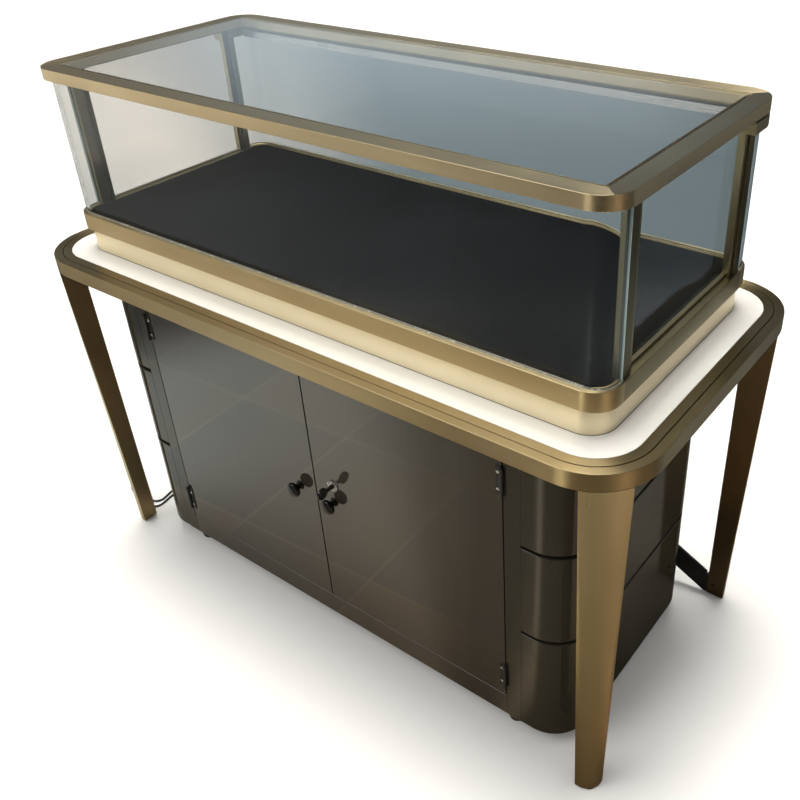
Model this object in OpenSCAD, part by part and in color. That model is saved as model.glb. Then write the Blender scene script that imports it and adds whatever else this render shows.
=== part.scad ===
// Jewellery showcase: a glazed display case with a lifting glass lid, on a counter top with a metal
// rim, four tapered legs and a two-door cabinet. Origin on the floor under the middle of the counter
// top, X to the right, the doors face -Y, Z up. Millimetres.

/* [Counter top] */
// Length of the counter top
counter_l = 1200; // [1160:10:1300]
// Depth of the counter top
counter_d = 576; // [560:4:640]
// Radius of its corners
counter_r = 100; // [80:5:120]
// Height of its upper face above the floor
counter_top = 636; // [620:2:700]
// Height of the metal rim
rim_h = 27; // [24:1:36]
// Width of the rim's outer wall, and of the trim inside it
rim_w = 14.5; // [12:0.5:16]
// Dark joint between the rim and the trim
rim_joint = 1.5; // [1:0.5:2]
// Thickness of the white top panel
top_panel_t = 6; // [4:1:8]

/* [Legs and braces] */
// How far the inner X face of a leg stands in from the counter's end
leg_in_x = 66; // [55:1:72]
// How far the inner Y face of a leg stands in from the counter's edge, at the foot
leg_in_y = 60; // [56:1:64]
// How much farther out that face is at the top
leg_lean = 10; // [0:1:12]
// Width of a leg's foot along X
foot_w = 32; // [28:1:40]
// Depth of a leg's foot along Y
foot_d = 30; // [28:1:36]
// Height of the glide under a leg
glide_h = 3; // [2:1:6]
// Width of a diagonal brace bar
brace_w = 45; // [35:1:50]
// Thickness of a brace bar
brace_t = 4; // [3:1:4]

/* [Cabinet] */
// How far each end of the cabinet stands in from the counter's end
cabinet_in = 100; // [92:2:110]
// How far the front of the cabinet stands in from the counter's edge
front_in = 61; // [61:1:66]
// How far the back of the cabinet stands in from the counter's edge
rear_in = 88; // [84:1:92]
// Radius of its upright corners
cabinet_r = 65; // [55:1:70]
// Height of its feet
cabinet_foot_h = 27; // [20:1:32]
// Thickness of the boards and doors
board_t = 18; // [16:1:18]
// Thickness of the curved wing panels
wing_t = 12; // [10:1:13]
// Width of a wing, from the front stile to the end of the cabinet
wing_w = 85; // [82:1:88]
// Width of a front stile
stile_w = 29; // [27:1:32]
// Bottom of the door opening
door_low = 72; // [70:1:80]
// Top of the door opening
door_high = 565; // [550:1:566]
// Clear gap between a door and its frame
door_gap = 2; // [1.6:0.2:3]
// Clear gap between the two doors
door_split = 3; // [2:0.5:4]
// Height of the lower shadow groove in the wings above the floor
groove_low = 238; // [200:1:260]
// Height of the upper shadow groove above the floor
groove_high = 411; // [380:1:430]
// Width of a shadow groove
groove_h = 5.5; // [4:0.5:8]
// Height of the shelf's upper face
shelf_z = 328; // [250:1:340]

/* [Door fittings] */
// Radius of a hinge barrel
barrel_r = 3.1; // [2.8:0.1:3.2]
// Height of a hinge
hinge_h = 50; // [40:5:70]
// Radial clearance on a hinge pin
pin_clear = 0.05; // [0.02:0.01:0.1]
// Distance of a knob from the middle
knob_x = 40; // [36:1:50]
// Height of the knobs
knob_z = 312; // [300:1:330]
// Radius of a knob's head
knob_r = 13.8; // [12:0.2:16]
// Height of the lock
lock_z = 349; // [345:1:360]
// Length of the lock's cam
cam_l = 60; // [55:1:64]

/* [Display case] */
// How far the ends of the plinth stand in from the counter's ends
plinth_in_x = 72.5; // [72.5:2.5:80]
// How far the front and the back of the plinth stand in from the counter's edges
plinth_in_y = 71; // [71:1:76]
// Height of the plinth
plinth_h = 40; // [34:1:46]
// How far the metal band stands out past the plinth's ends
band_out_x = 7; // [7:0.5:8.5]
// How far the metal band stands out past the plinth's front and back
band_out_y = 6.5; // [6.5:0.5:8]
// Height of the metal band
band_h = 30; // [26:1:34]
// Radius of the band's corners
band_r = 39; // [36:1:42]
// How far the glass box stands in from the band's ends
glass_in_x = 4.5; // [3.5:0.5:4.5]
// How far the bent glass stands in from the band's front and back
glass_in_y = 8.5; // [7.5:0.5:9.5]
// Radius of the bent glass
glass_r = 38; // [36:1:38]
// Thickness of the glass
glass_t = 6; // [5:1:6]
// Height of the bent glass above the band
glass_h = 229; // [200:1:260]
// Straight run of the bent glass past its corners
glass_run = 1; // [0:0.5:3]

/* [Lid] */
// How far the lid stands out past the ends of the glass box
lid_out_x = 10; // [10:0.5:12]
// How far the lid stands out past the bent glass
lid_out_y = 14; // [14:0.5:15]
// Radius of the lid's corners
lid_r = 45; // [42:1:48]
// Height of the lid's frame
lid_h = 19.5; // [18:0.5:22]
// Width of the lid's frame seen from above
lid_frame_w = 29; // [26:1:30]
// Slot under the lid, for the gasket and the hinge
lid_slot = 3; // [3:0.5:4]
// Height of the fixed rear rail
rail_h = 17; // [15:1:20]
// Pitch of the lid hinge's knuckles
knuckle_pitch = 40; // [30:5:60]

/* [Cord] */
// Diameter of the mains lead
cord_d = 4; // [3.5:0.5:5]
// Turns of its coil that lie side by side
coil_rows = 3; // [2:1:3]

/* [Hidden] */
$fn = 96;
EPS = 0.01;

brass = "#b89b6b";
dark_wood = "#4a4038";
black = "#1c1c1d";

// Levels of the counter
rim_z = counter_top - rim_h;
rim_floor_t = 3;
rim_floor_w = 50;
trim_in = 2 * rim_w + rim_joint;
top_in = trim_in + 0.5;

// Legs and braces
leg_x = counter_l / 2 - leg_in_x;
leg_y = counter_d / 2 - leg_in_y;
toe_r = 26;
glide_r = 11;
button_z = 25;
button_r = 3.4;
button_t = 1.6;
brace_x = leg_x - brace_t;
brace_low = 27;
brace_rise = rim_z - 2 * brace_low;
brace_a = atan(brace_rise / (2 * brace_x));
brace_gap = 1;
tab_w = 24;
tab_h = 42;
tab_hole_y = 15;
bolt_r = 4;
screw_r = 3;

// Cabinet
cabinet_w = counter_l - 2 * cabinet_in;
cabinet_front = counter_d / 2 - front_in;
cabinet_rear = counter_d / 2 - rear_in;
stile_out = cabinet_w / 2 - wing_w;
stile_in = stile_out - stile_w;
cab_mid_y = (cabinet_rear - cabinet_front) / 2;
cab_d = cabinet_rear + cabinet_front;
inner_front = -cabinet_front + board_t;
back_t = 9;
inner_rear = cabinet_rear - back_t;
core_t = 6;
side_t = 16;
base_z = cabinet_foot_h;
roof_z = rim_z + rim_floor_t - board_t;
side_x = stile_out - side_t;
foot_x = side_x - 9;
foot_in = 26;
foot_r = 15;
foot_pad_t = 4;
pin_row_in = 50;
shelf_pin_r = 2.5;

// Doors
door_out = stile_in - door_gap;
door_z0 = door_low + door_gap;
door_z1 = door_high - door_gap;
catch_x = [85, 125];
catch_d = 14;
catch_h = 20;
strike_t = 1.2;
strike_h = 14;
strike_inset = 5;

// Door hinges
leaf_t = 1.5;
hinge_y = -cabinet_front - barrel_r - 0.5;
pin_r = 1.5;
knuckles = 5;
knuckle_gap = 0.2;
leaf_w = 7;
hinge_in = 21;
hinge_z = [door_z0 + hinge_in, door_z1 - hinge_in - hinge_h];
screw_head_t = 0.7;

// Knobs and lock
knob_base_r = 8.5;
knob_neck_r = 5.6;
knob_out = 22.5;
knob_screw_r = 2;
lock_x = knob_x + 3;
lock_r = 9.4;
bezel_t = 2.5;
plug_r = 5.9;
cam_w = 14;
cam_t = 2.2;
key_w = 7.8;
key_t = 1.8;
bow_t = 3.4;
bow_r = 10.5;
bow_out = 36;

// Display case
plinth_l = counter_l - 2 * plinth_in_x;
plinth_d = counter_d - 2 * plinth_in_y;
band_l = plinth_l + 2 * band_out_x;
band_d = plinth_d + 2 * band_out_y;
glass_l = band_l - 2 * glass_in_x;
glass_d = band_d - 2 * glass_in_y;
lid_l = glass_l + 2 * lid_out_x;
lid_d = glass_d + 2 * lid_out_y;
case_z = counter_top;
band_z = case_z + plinth_h;
deck_z = band_z + band_h - 2;
glass_z = band_z + band_h;
glass_top = glass_z + glass_h;
glass_end = glass_d / 2 - glass_r - glass_run;
wall_t = 14;
band_joint = 0.4;
deck_pad_t = 8;
deck_in = wall_t + 1;
deck_edge = 2;
post_x = [glass_l / 2 - 15, glass_l / 2];
post_y = [glass_end - 18, glass_end - 1];
pane_x = post_x[0] + 1;
bead_y = post_y[0] - 10;
bead_in = 3;

// Lid and its hinge
lid_z = glass_top + lid_slot;
rail_z = glass_top - rail_h;
ledge_in = 8;
opening_r = 4;
rail_w = 24;
hinge_axis = [lid_d / 2 + 2.4, glass_top + lid_slot / 2];
lid_barrel_r = 2.5;
lid_pin_r = 1;
lid_leaf_t = 1.1;
lid_leaf_in = 22;
knuckle_margin = 50;
lid_knuckles = 2 * floor((lid_l / 2 - knuckle_margin) / knuckle_pitch);

// Light under the rail, and its driver in the cabinet
led_x = pane_x - 16;
led_y = lid_d / 2 - rail_w;
led_w = 16;
led_h = 12;
led_wall = 2;
driver_l = 100;
driver_x = [foot_x - driver_l, foot_x];
driver_z = [480, 520];
driver_d = 26;
lug = 6;

// Low-voltage lead from the driver, up the rear left post, to the light
lead_r = 1.5;
lead_z = [driver_z[1], case_z + 19, band_z + 12, rail_z + 8];
lead_x = [-10 - driver_x[0], 10 - post_x[0], -(post_x[0] + post_x[1]) / 2, -led_x];
lead_y = [inner_rear - 13, (post_y[0] + post_y[1]) / 2, led_y - led_w + 4];
lead_route = [
    [lead_x[0], lead_y[0], lead_z[0]], [lead_x[0], lead_y[0], lead_z[1]],
    [lead_x[1], lead_y[0], lead_z[1]], [lead_x[1], lead_y[1], lead_z[1]],
    [lead_x[1], lead_y[1], lead_z[2]], [lead_x[2], lead_y[1], lead_z[2]],
    [lead_x[2], lead_y[1], lead_z[3]], [lead_x[2], lead_y[2], lead_z[3]],
    [lead_x[3], lead_y[2], lead_z[3]]
];

// Mains lead, from the gland in the cabinet's back: down to the floor, forward along the left side,
// round in a bend behind the front left leg, and back to a coil behind the cabinet
gland_in = 99;
gland = [gland_in - side_x, cabinet_rear, 92];
gland_hole_r = 8;
gland_r = 12;
gland_l = 30;
coil_mid = [-192, 172];
coil_r = 5.5 * cord_d;
plug_size = [28, 30, 14];
plug_relief = 24;
plug_pin = [2, 19, 9.5];
cord_route = [
    [0, 30, 92], [0, 42, 92], [-1, 57, 89], [-4, 71, 80], [-8, 82, 66], [-13, 90, 49],
    [-20, 95, 32], [-30, 98, 17], [-44, 99, 7], [-62, 98, 3], [-85, 95, 2.1], [-115, 88, 2.1],
    [-146, 75, 2.1], [-170, 58, 2.1], [-192, 38, 2.1], [-212, 14, 2.1], [-229, -14, 2.1],
    [-241, -48, 2.1], [-248, -100, 2.1], [-251, -180, 2.1], [-253, -280, 2.1], [-255, -350, 2.1],
    [-255, -375, 2.1], [-252, -391, 2.1], [-251, -403, 2.1], [-252.5, -410, 2.1],
    [-256.7, -415.3, 2.1], [-262.9, -418.5, 2.1], [-270, -419, 2.1], [-281, -418, 2.1],
    [-295, -416.8, 2.1], [-310, -416, 2.1], [-325, -414.5, 2.1], [-339.5, -411, 2.1],
    [-352, -405.9, 2.1], [-358.2, -400.5, 2.1], [-360.7, -392.5, 2.1], [-358.9, -384.4, 2.1],
    [-353.3, -378.3, 2.1], [-345.4, -375.7, 2.1], [-337.4, -377.5, 2.1], [-322.5, -385.6, 2.1],
    [-304.8, -394.9, 2.1], [-286.3, -404.2, 2.1], [-278.4, -406, 2.1], [-270.5, -403.6, 2.1],
    [-265, -397.8, 2.1], [-263, -390, 2.1], [-265, -377, 2.1], [-269, -360, 2.1],
    [-271, -330, 2.1], [-271, -250, 2.1], [-272, -150, 2.1], [-273, -50, 2.1], [-273, 20, 2.1],
    [-270, 65, 2.1], [-259, 103, 2.1], [-243, 130, 2.1], [-227, 149, 2.1], [-219.5, 161, 2.1],
    [-218, 172, 2.1]
];
tail_route = [
    [-192, 196, 6], [-182, 196.3, 6], [-173, 197.5, 5.2], [-164, 199.5, 3.4], [-155, 202.5, 2.1],
    [-140, 209, 2.1], [-125, 215, 2.1], [-112, 219, 2.6], [-100, 222, 4.2], [-90, 224.3, 6.2],
    [-80, 225, 7.1]
];

// A rectangle with round corners, centred, shrunk by an inset
module plate_2d(l, d, r, inset = 0) {
    rr = max(r - inset, 1);
    w = l - 2 * inset;
    h = d - 2 * inset;
    square([w - 2 * rr, h], center = true);
    square([w, h - 2 * rr], center = true);
    for (sx = [-1, 1], sy = [-1, 1])
        translate([sx * (w / 2 - rr), sy * (h / 2 - rr)]) circle(rr);
}

// A flat ring between two insets of one outline
module ring_2d(l, d, r, inset_0, inset_1) {
    difference() {
        plate_2d(l, d, r, inset_0);
        plate_2d(l, d, r, inset_1);
    }
}

// A rectangular block from its lowest corner to its highest
module block(a, b) {
    translate(a) cube(b - a);
}

// The same thing on the left and on the right
module both_sides() {
    for (s = [0, 1]) mirror([s, 0, 0]) children();
}

// The same thing at the four corners
module four_corners() {
    for (sx = [0, 1], sy = [0, 1]) mirror([sx, 0, 0]) mirror([0, sy, 0]) children();
}

// A round rod between two points
module rod(a, b, r) {
    v = b - a;
    translate(a) rotate([0, acos(v.z / norm(v)), atan2(v.y, v.x)]) cylinder(h = norm(v), r = r, $fn = 32);
}

// The square channel that the low-voltage lead runs in, through whatever it passes
module lead_channel() {
    w = lead_r + 1;
    for (i = [1 : len(lead_route) - 1]) {
        p = lead_route[i - 1];
        q = lead_route[i];
        low = [for (k = [0 : 2]) min(p[k], q[k]) - w];
        high = [for (k = [0 : 2]) max(p[k], q[k]) + w];
        block(low, high);
    }
}

// Counter top
module table_rim() {
    color(brass) translate([0, 0, rim_z]) {
        linear_extrude(rim_h) ring_2d(counter_l, counter_d, counter_r, 0, rim_w);
        linear_extrude(rim_floor_t) ring_2d(counter_l, counter_d, counter_r, rim_w - EPS, rim_floor_w);
    }
}

module rim_trim() {
    color(brass) translate([0, 0, rim_z + rim_floor_t])
        linear_extrude(rim_h - rim_floor_t)
            ring_2d(counter_l, counter_d, counter_r, rim_w + rim_joint, trim_in);
}

module counter_slab(z0, z1) {
    difference() {
        translate([0, 0, z0]) linear_extrude(z1 - z0) plate_2d(counter_l, counter_d, counter_r, top_in);
        lead_channel();
    }
}

module counter_board() {
    color("tan") counter_slab(rim_z + rim_floor_t, counter_top - top_panel_t);
}

module counter_panel() {
    color("white") counter_slab(counter_top - top_panel_t, counter_top);
}

// A leg: its outer side flows out from the small round foot to the rim's corner
module leg() {
    top_mid = [counter_l / 2 - counter_r, counter_d / 2 - counter_r];
    hull() {
        translate([0, 0, rim_z - 1]) linear_extrude(1) intersection() {
            translate(top_mid) circle(counter_r);
            translate([leg_x, leg_y + leg_lean]) square(counter_r);
        }
        translate([0, 0, glide_h]) linear_extrude(1) intersection() {
            translate([leg_x + foot_w - toe_r, leg_y + foot_d - toe_r]) circle(toe_r, $fn = 64);
            translate([leg_x, leg_y]) square(foot_w + foot_d);
        }
        block([leg_x, leg_y, glide_h], [leg_x + foot_w - toe_r + 2, leg_y + foot_d, glide_h + 1]);
        block([leg_x, leg_y, glide_h], [leg_x + foot_w, leg_y + foot_d - toe_r + 2, glide_h + 1]);
    }
}

module legs_front() { color(brass) both_sides() mirror([0, 1, 0]) leg(); }
module legs_rear() { color(brass) both_sides() leg(); }

module leg_glides() {
    color(black) four_corners()
        translate([leg_x + foot_w / 2, leg_y + foot_d / 2 - 1, 0]) cylinder(h = glide_h, r = glide_r);
}

// A brace bar that rises to the left, with a tab on each leg; the other bar is its mirror image
module brace(layer) {
    y0 = leg_y + brace_gap + layer * brace_t;
    difference() {
        intersection() {
            translate([0, y0, 0]) rotate([90, 0, 0]) mirror([0, 0, 1]) linear_extrude(brace_t)
                translate([0, brace_low + brace_rise / 2]) rotate(-brace_a)
                    square([2 * counter_l, brace_w], center = true);
            block([-brace_x, 0, glide_h], [brace_x, counter_d / 2, rim_z - 2]);
        }
        translate([0, y0 - 1, brace_low + brace_rise / 2]) rotate([-90, 0, 0])
            cylinder(h = brace_t + 2, r = bolt_r + 0.1);
    }
    for (s = [-1, 1]) {
        z = tab_z(s);
        difference() {
            block([s < 0 ? -leg_x : brace_x, y0, z], [s < 0 ? -brace_x : leg_x, y0 + tab_w, z + tab_h]);
            translate([s * (leg_x - brace_t / 2), y0 + tab_hole_y, z + tab_h / 2]) rotate([0, 90, 0])
                cylinder(h = brace_t + 2, r = screw_r + 0.2, center = true);
        }
    }
}

function tab_z(s) = s < 0 ? brace_low + brace_rise - tab_h + 2 : glide_h;

module brace_low_right() { color(black) brace(0); }
module brace_low_left() { color(black) mirror([1, 0, 0]) brace(1); }

// The bolt where the bars cross, the screws that hold the tabs to the legs, and the button-headed
// screw low in the inner face of each rear leg
module brace_fixings() {
    color("silver") {
        translate([0, leg_y + brace_gap, brace_low + brace_rise / 2]) rotate([-90, 0, 0]) {
            cylinder(h = 2 * brace_t, r = bolt_r);
            translate([0, 0, 2 * brace_t]) cylinder(h = 4, r = 7);
            translate([0, 0, -4]) cylinder(h = 4, r = 7, $fn = 6);
        }
        for (layer = [0, 1], s = [-1, 1]) {
            side = layer == 0 ? s : -s;
            y = leg_y + brace_gap + layer * brace_t + tab_hole_y;
            translate([side * brace_x, y, tab_z(s) + tab_h / 2]) rotate([0, side * 90, 0]) {
                translate([0, 0, -2.5]) cylinder(h = 2.5, r = 5.5);
                cylinder(h = brace_t, r = screw_r);
            }
        }
    }
    color(black) both_sides() translate([leg_x + 11, leg_y + leg_face(button_z - button_r), button_z])
        rotate([90, 0, 0]) cylinder(h = button_t, r = button_r);
}

// How far out the inner Y face of a leg stands at a height
function leg_face(z) = leg_lean * (z - glide_h - 1) / (rim_z - glide_h - 2);

// Outline of the cabinet's inner boards: they stop behind the front, the back and the wings
module board_2d(gap = 0) {
    translate([-stile_out, inner_front]) square([2 * stile_out, inner_rear - inner_front]);
    difference() {
        translate([0, cab_mid_y]) plate_2d(cabinet_w, cab_d, cabinet_r, wing_t + gap);
        square([2 * stile_out - EPS, 2 * cab_d], center = true);
    }
}

module cabinet_base() {
    color("dimgray") translate([0, 0, base_z]) linear_extrude(board_t) board_2d();
}

module cabinet_top() {
    color("dimgray") difference() {
        translate([0, 0, roof_z]) linear_extrude(board_t) board_2d();
        lead_channel();
    }
}

module cabinet_floor() {
    color("dimgray") block([-side_x, inner_front, door_low - board_t], [side_x, inner_rear, door_low]);
}

module carcass_sides() {
    color("dimgray") both_sides() difference() {
        block([side_x, inner_front, base_z + board_t], [stile_out, inner_rear, roof_z]);
        shelf_pin_rows(shelf_pin_r + 0.1);
    }
}

// The shelf stands on two pins at each side; they go half way into the side boards
module shelf_pin_rows(r, length = side_t + 1) {
    for (y = [inner_front + pin_row_in, inner_rear - pin_row_in])
        translate([side_x - side_t / 2, y, shelf_z - board_t - r]) rotate([0, 90, 0])
            cylinder(h = length, r = r, $fn = 32);
}

module shelf() {
    color("dimgray") block([-side_x + 0.5, inner_front + 24, shelf_z - board_t],
        [side_x - 0.5, inner_rear - 1, shelf_z]);
}

module shelf_pins() {
    color("silver") both_sides() shelf_pin_rows(shelf_pin_r, side_t);
}

module cabinet_back() {
    color(dark_wood) difference() {
        block([-stile_out, inner_rear, base_z], [stile_out, cabinet_rear, rim_z]);
        translate([gland.x, cabinet_rear - 20, gland.z]) rotate([-90, 0, 0])
            cylinder(h = 30, r = gland_hole_r);
    }
}

module cabinet_feet() {
    color(black) both_sides()
        for (y = [-cabinet_front + foot_in, cabinet_rear - foot_in])
            translate([foot_x, y, 0]) {
                cylinder(h = foot_pad_t, r = foot_r - 1);
                translate([0, 0, foot_pad_t]) cylinder(h = cabinet_foot_h - foot_pad_t, r = foot_r);
            }
}

module front_stiles() {
    color(dark_wood) both_sides()
        block([stile_in, -cabinet_front, base_z], [stile_out, inner_front, rim_z]);
}

module front_rails() {
    color(dark_wood) {
        block([-stile_in, -cabinet_front, base_z], [stile_in, inner_front, door_low]);
        block([-stile_in, -cabinet_front, door_high], [stile_in, inner_front, rim_z]);
    }
}

// A curved wall round one end of the cabinet, between two insets and two heights
module wing_wall(inset_0, inset_1, z0, z1) {
    translate([0, 0, z0]) linear_extrude(z1 - z0) intersection() {
        translate([0, cab_mid_y]) ring_2d(cabinet_w, cab_d, cabinet_r, inset_0, inset_1);
        translate([stile_out, -cabinet_w]) square([cabinet_w, 2 * cabinet_w]);
    }
}

module wing_cores() {
    color(black) both_sides() wing_wall(wing_t, wing_t + core_t, base_z + board_t, roof_z);
}

module wing_tiers() {
    lows = [base_z, groove_low + groove_h / 2, groove_high + groove_h / 2];
    highs = [groove_low - groove_h / 2, groove_high - groove_h / 2, rim_z];
    for (i = [0 : 2]) wing_wall(0, wing_t, lows[i], highs[i]);
}

module wing_panels_left() { color(dark_wood) mirror([1, 0, 0]) wing_tiers(); }
module wing_panels_right() { color(dark_wood) wing_tiers(); }

// Doors: the left one is drawn on the right and mirrored
module door(with_lock) {
    difference() {
        block([door_split / 2, -cabinet_front, door_z0], [door_out, inner_front, door_z1]);
        translate([knob_x, -cabinet_front - 1, knob_z]) rotate([-90, 0, 0])
            cylinder(h = board_t + 2, r = knob_screw_r + 0.2);
        if (with_lock) translate([lock_x, -cabinet_front - 1, lock_z]) rotate([-90, 0, 0])
            cylinder(h = board_t + 2, r = lock_r + 0.1);
        strike(1);
    }
}

module door_left() { mirror([1, 0, 0]) color(dark_wood) door(false); }
module door_right() { color(dark_wood) door(true); }

// The steel plate let into a door's back, and with some extra depth its pocket
module strike(extra) {
    block([catch_x[0] + strike_inset, inner_front - strike_t, door_z1 - 3 - strike_h],
        [catch_x[1] - strike_inset, inner_front + extra, door_z1 - 3]);
}

module strike_left() { color("silver") mirror([1, 0, 0]) strike(0); }
module strike_right() { color("silver") strike(0); }

module magnetic_catches() {
    color(black) both_sides() {
        block([catch_x[0], inner_front, door_high], [catch_x[1], inner_front + catch_d, door_high + catch_h]);
        block([catch_x[0], inner_front + 0.8, door_z1 - 4 - strike_h],
            [catch_x[1], inner_front + catch_d, door_high + EPS]);
    }
}

// A mushroom knob on a flange, with the screw that holds it through the door
module knob() {
    color("#2b2b2e") translate([knob_x, -cabinet_front, knob_z]) rotate([90, 0, 0]) {
        rotate_extrude() polygon([
            [0, 0], [knob_base_r, 0], [knob_base_r, 1.2], [knob_base_r - 0.7, 2],
            [knob_neck_r + 0.6, 2.6], [knob_neck_r, 5], [knob_neck_r + 0.2, 8], [knob_neck_r + 1.9, 10.4],
            [knob_r - 1.2, 12], [knob_r - 0.2, 13.4], [knob_r, 15.2], [knob_r - 0.6, 17.4],
            [knob_r - 2.6, 19.6], [knob_r - 6.2, 21.4], [4, knob_out - 0.3], [0, knob_out]
        ]);
    }
    color("silver") translate([knob_x, -cabinet_front, knob_z]) rotate([-90, 0, 0]) {
        translate([0, 0, -EPS]) cylinder(h = board_t + EPS, r = knob_screw_r);
        translate([0, 0, board_t]) cylinder(h = 2.2, r = 4);
    }
}

module knob_left() { mirror([1, 0, 0]) knob(); }
module knob_right() { knob(); }

// Knuckles of one butt hinge: every other slice of the barrel, from the first one given
module barrel(first, z0) {
    slice = hinge_h / knuckles;
    for (i = [first : 2 : knuckles - 1])
        translate([stile_in, hinge_y, z0 + i * slice + knuckle_gap])
            cylinder(h = slice - 2 * knuckle_gap, r = barrel_r);
}

module pin_bore(z0) {
    translate([stile_in, hinge_y, z0 - 1]) cylinder(h = hinge_h + 2, r = pin_r + pin_clear);
}

// The fixed leaf stands in the gap, against the stile's edge
module fixed_leaf(z0) {
    slice = hinge_h / knuckles;
    difference() {
        union() {
            barrel(0, z0);
            block([stile_in - leaf_t, -cabinet_front, z0], [stile_in, inner_front, z0 + hinge_h]);
            for (i = [0 : 2 : knuckles - 1])
                block([stile_in - leaf_t, hinge_y, z0 + i * slice + knuckle_gap],
                    [stile_in, -cabinet_front + EPS, z0 + (i + 1) * slice - knuckle_gap]);
        }
        pin_bore(z0);
    }
}

// The door's leaf is a narrow plate on its face, with two screws
module door_leaf(z0) {
    slice = hinge_h / knuckles;
    x0 = stile_in - barrel_r - 0.6;
    difference() {
        union() {
            barrel(1, z0);
            block([x0 - leaf_w, -cabinet_front - leaf_t, z0], [x0, -cabinet_front, z0 + hinge_h]);
            for (i = [1 : 2 : knuckles - 1])
                block([x0 - EPS, -cabinet_front - leaf_t, z0 + i * slice + knuckle_gap],
                    [stile_in, -cabinet_front, z0 + (i + 1) * slice - knuckle_gap]);
            for (z = [slice, hinge_h - slice])
                translate([x0 - leaf_w / 2, -cabinet_front - leaf_t + EPS, z0 + z]) rotate([90, 0, 0])
                    cylinder(h = screw_head_t, r = leaf_w / 2 - 0.8);
        }
        pin_bore(z0);
    }
}

module hinge_leaves_fixed() { color(black) both_sides() for (z = hinge_z) fixed_leaf(z); }
module hinge_leaves_left() { color(black) mirror([1, 0, 0]) for (z = hinge_z) door_leaf(z); }
module hinge_leaves_right() { color(black) for (z = hinge_z) door_leaf(z); }

module hinge_pins() {
    color(black) both_sides() for (z = hinge_z) translate([stile_in, hinge_y, z]) {
        cylinder(h = hinge_h, r = pin_r);
        for (end = [-1.5, hinge_h - 0.2]) translate([0, 0, end]) cylinder(h = 1.7, r = barrel_r - 0.4);
    }
}

// Cam lock: a barrel in the right door, and a plug with the cam that turns with the key
module at_lock() {
    translate([lock_x, -cabinet_front, lock_z]) rotate([-90, 0, 0]) children();
}

// The barrel has a bezel on the face and a nut behind the door
module lock_barrel() {
    color("silver") at_lock() difference() {
        union() {
            translate([0, 0, -bezel_t]) cylinder(h = bezel_t, r = lock_r + 1.4);
            cylinder(h = board_t + 5, r = lock_r);
            translate([0, 0, board_t]) cylinder(h = 3, r = lock_r + 4.5, $fn = 6);
        }
        translate([0, 0, -3]) cylinder(h = board_t + 10, r = plug_r + pin_clear);
    }
}

module key_slot(gap) {
    translate([-key_t / 2 - gap, -key_w / 2 - gap, -10]) cube([key_t + 2 * gap, key_w + 2 * gap, 28]);
}

module lock_plug() {
    color("silver") at_lock() difference() {
        union() {
            translate([0, 0, -2.8]) cylinder(h = board_t + 10.8, r = plug_r);
            translate([0, 0, board_t + 5.3]) {
                translate([-cam_w / 2, cam_w / 2 - cam_l, 0]) cube([cam_w, cam_l, cam_t]);
                translate([0, cam_w / 2 - cam_l, 0]) cylinder(h = cam_t, r = cam_w / 2);
            }
            translate([0, 0, board_t + 7.5]) cylinder(h = 2.5, r = 4, $fn = 6);
        }
        key_slot(0.2);
    }
}

// The key: a collar against the plug, a neck and a round flat bow, upright at rest
module lock_key() {
    color(black) at_lock() {
        translate([-key_t / 2, -key_w / 2, -3]) cube([key_t, key_w, 20]);
        translate([0, 0, -6]) cylinder(h = 3.2, r = 4.6);
        translate([-key_t / 2, -key_w / 2, bow_r - bow_out]) cube([key_t, key_w, bow_out - bow_r - 5]);
        translate([-bow_t / 2, 0, bow_r - bow_out]) rotate([0, 90, 0]) difference() {
            cylinder(h = bow_t, r = bow_r);
            translate([5.5, 0, -1]) cylinder(h = bow_t + 2, r = 2, $fn = 32);
        }
    }
}

// Display case
module case_plinth() {
    color(brass) translate([0, 0, case_z]) linear_extrude(plinth_h)
        ring_2d(plinth_l, plinth_d, band_r + 1, 0, wall_t + 4);
}

module deck_board() {
    color(black) difference() {
        translate([0, 0, band_z]) linear_extrude(deck_z - deck_pad_t - band_z)
            plate_2d(band_l, band_d, band_r, wall_t + 0.5);
        lead_channel();
    }
}

module display_deck() {
    color("#26282b") {
        translate([0, 0, deck_z - deck_pad_t]) linear_extrude(deck_pad_t - deck_edge)
            plate_2d(band_l, band_d, band_r, deck_in);
        translate([0, 0, deck_z - deck_edge]) linear_extrude(deck_edge)
            plate_2d(band_l, band_d, band_r, deck_in + deck_edge);
    }
}

module band_ring(z0, h) {
    translate([0, 0, z0]) linear_extrude(h) ring_2d(band_l, band_d, band_r, 0, wall_t);
}

module band_front_rear() {
    color(brass) difference() {
        band_ring(band_z, band_h);
        block([-band_l, -glass_end, band_z - 1], [band_l, glass_end, glass_z + 1]);
    }
}

module band_ends() {
    color(brass) difference() {
        intersection() {
            band_ring(band_z, band_h);
            block([-band_l, -glass_end + band_joint, band_z - 1],
                [band_l, glass_end - band_joint, glass_z + 1]);
        }
        lead_channel();
    }
}

// Bent glass: the front half of the outline; the back is its mirror image, cut down for the rail
module bent_glass(h) {
    translate([0, 0, glass_z]) linear_extrude(h) intersection() {
        ring_2d(glass_l, glass_d, glass_r, 0, glass_t);
        translate([-glass_l, -glass_d]) square([2 * glass_l, glass_d - glass_end]);
    }
}

module front_glass() { color("#cfe3dc", 0.3) bent_glass(glass_h); }
module back_glass() { color("#cfe3dc", 0.3) mirror([0, 1, 0]) bent_glass(glass_h - rail_h); }

module end_panes() {
    color("#cfe3dc", 0.3) both_sides()
        block([pane_x - glass_t, -post_y[0] + 0.5, glass_z], [pane_x, post_y[0] - 0.5, glass_top]);
}

module corner_posts() {
    color(brass) difference() {
        both_sides() {
            block([post_x[0], -post_y[1], glass_z], [post_x[1], -post_y[0], glass_top]);
            block([post_x[0], post_y[0], glass_z], [post_x[1], post_y[1], rail_z]);
        }
        lead_channel();
    }
}

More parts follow.
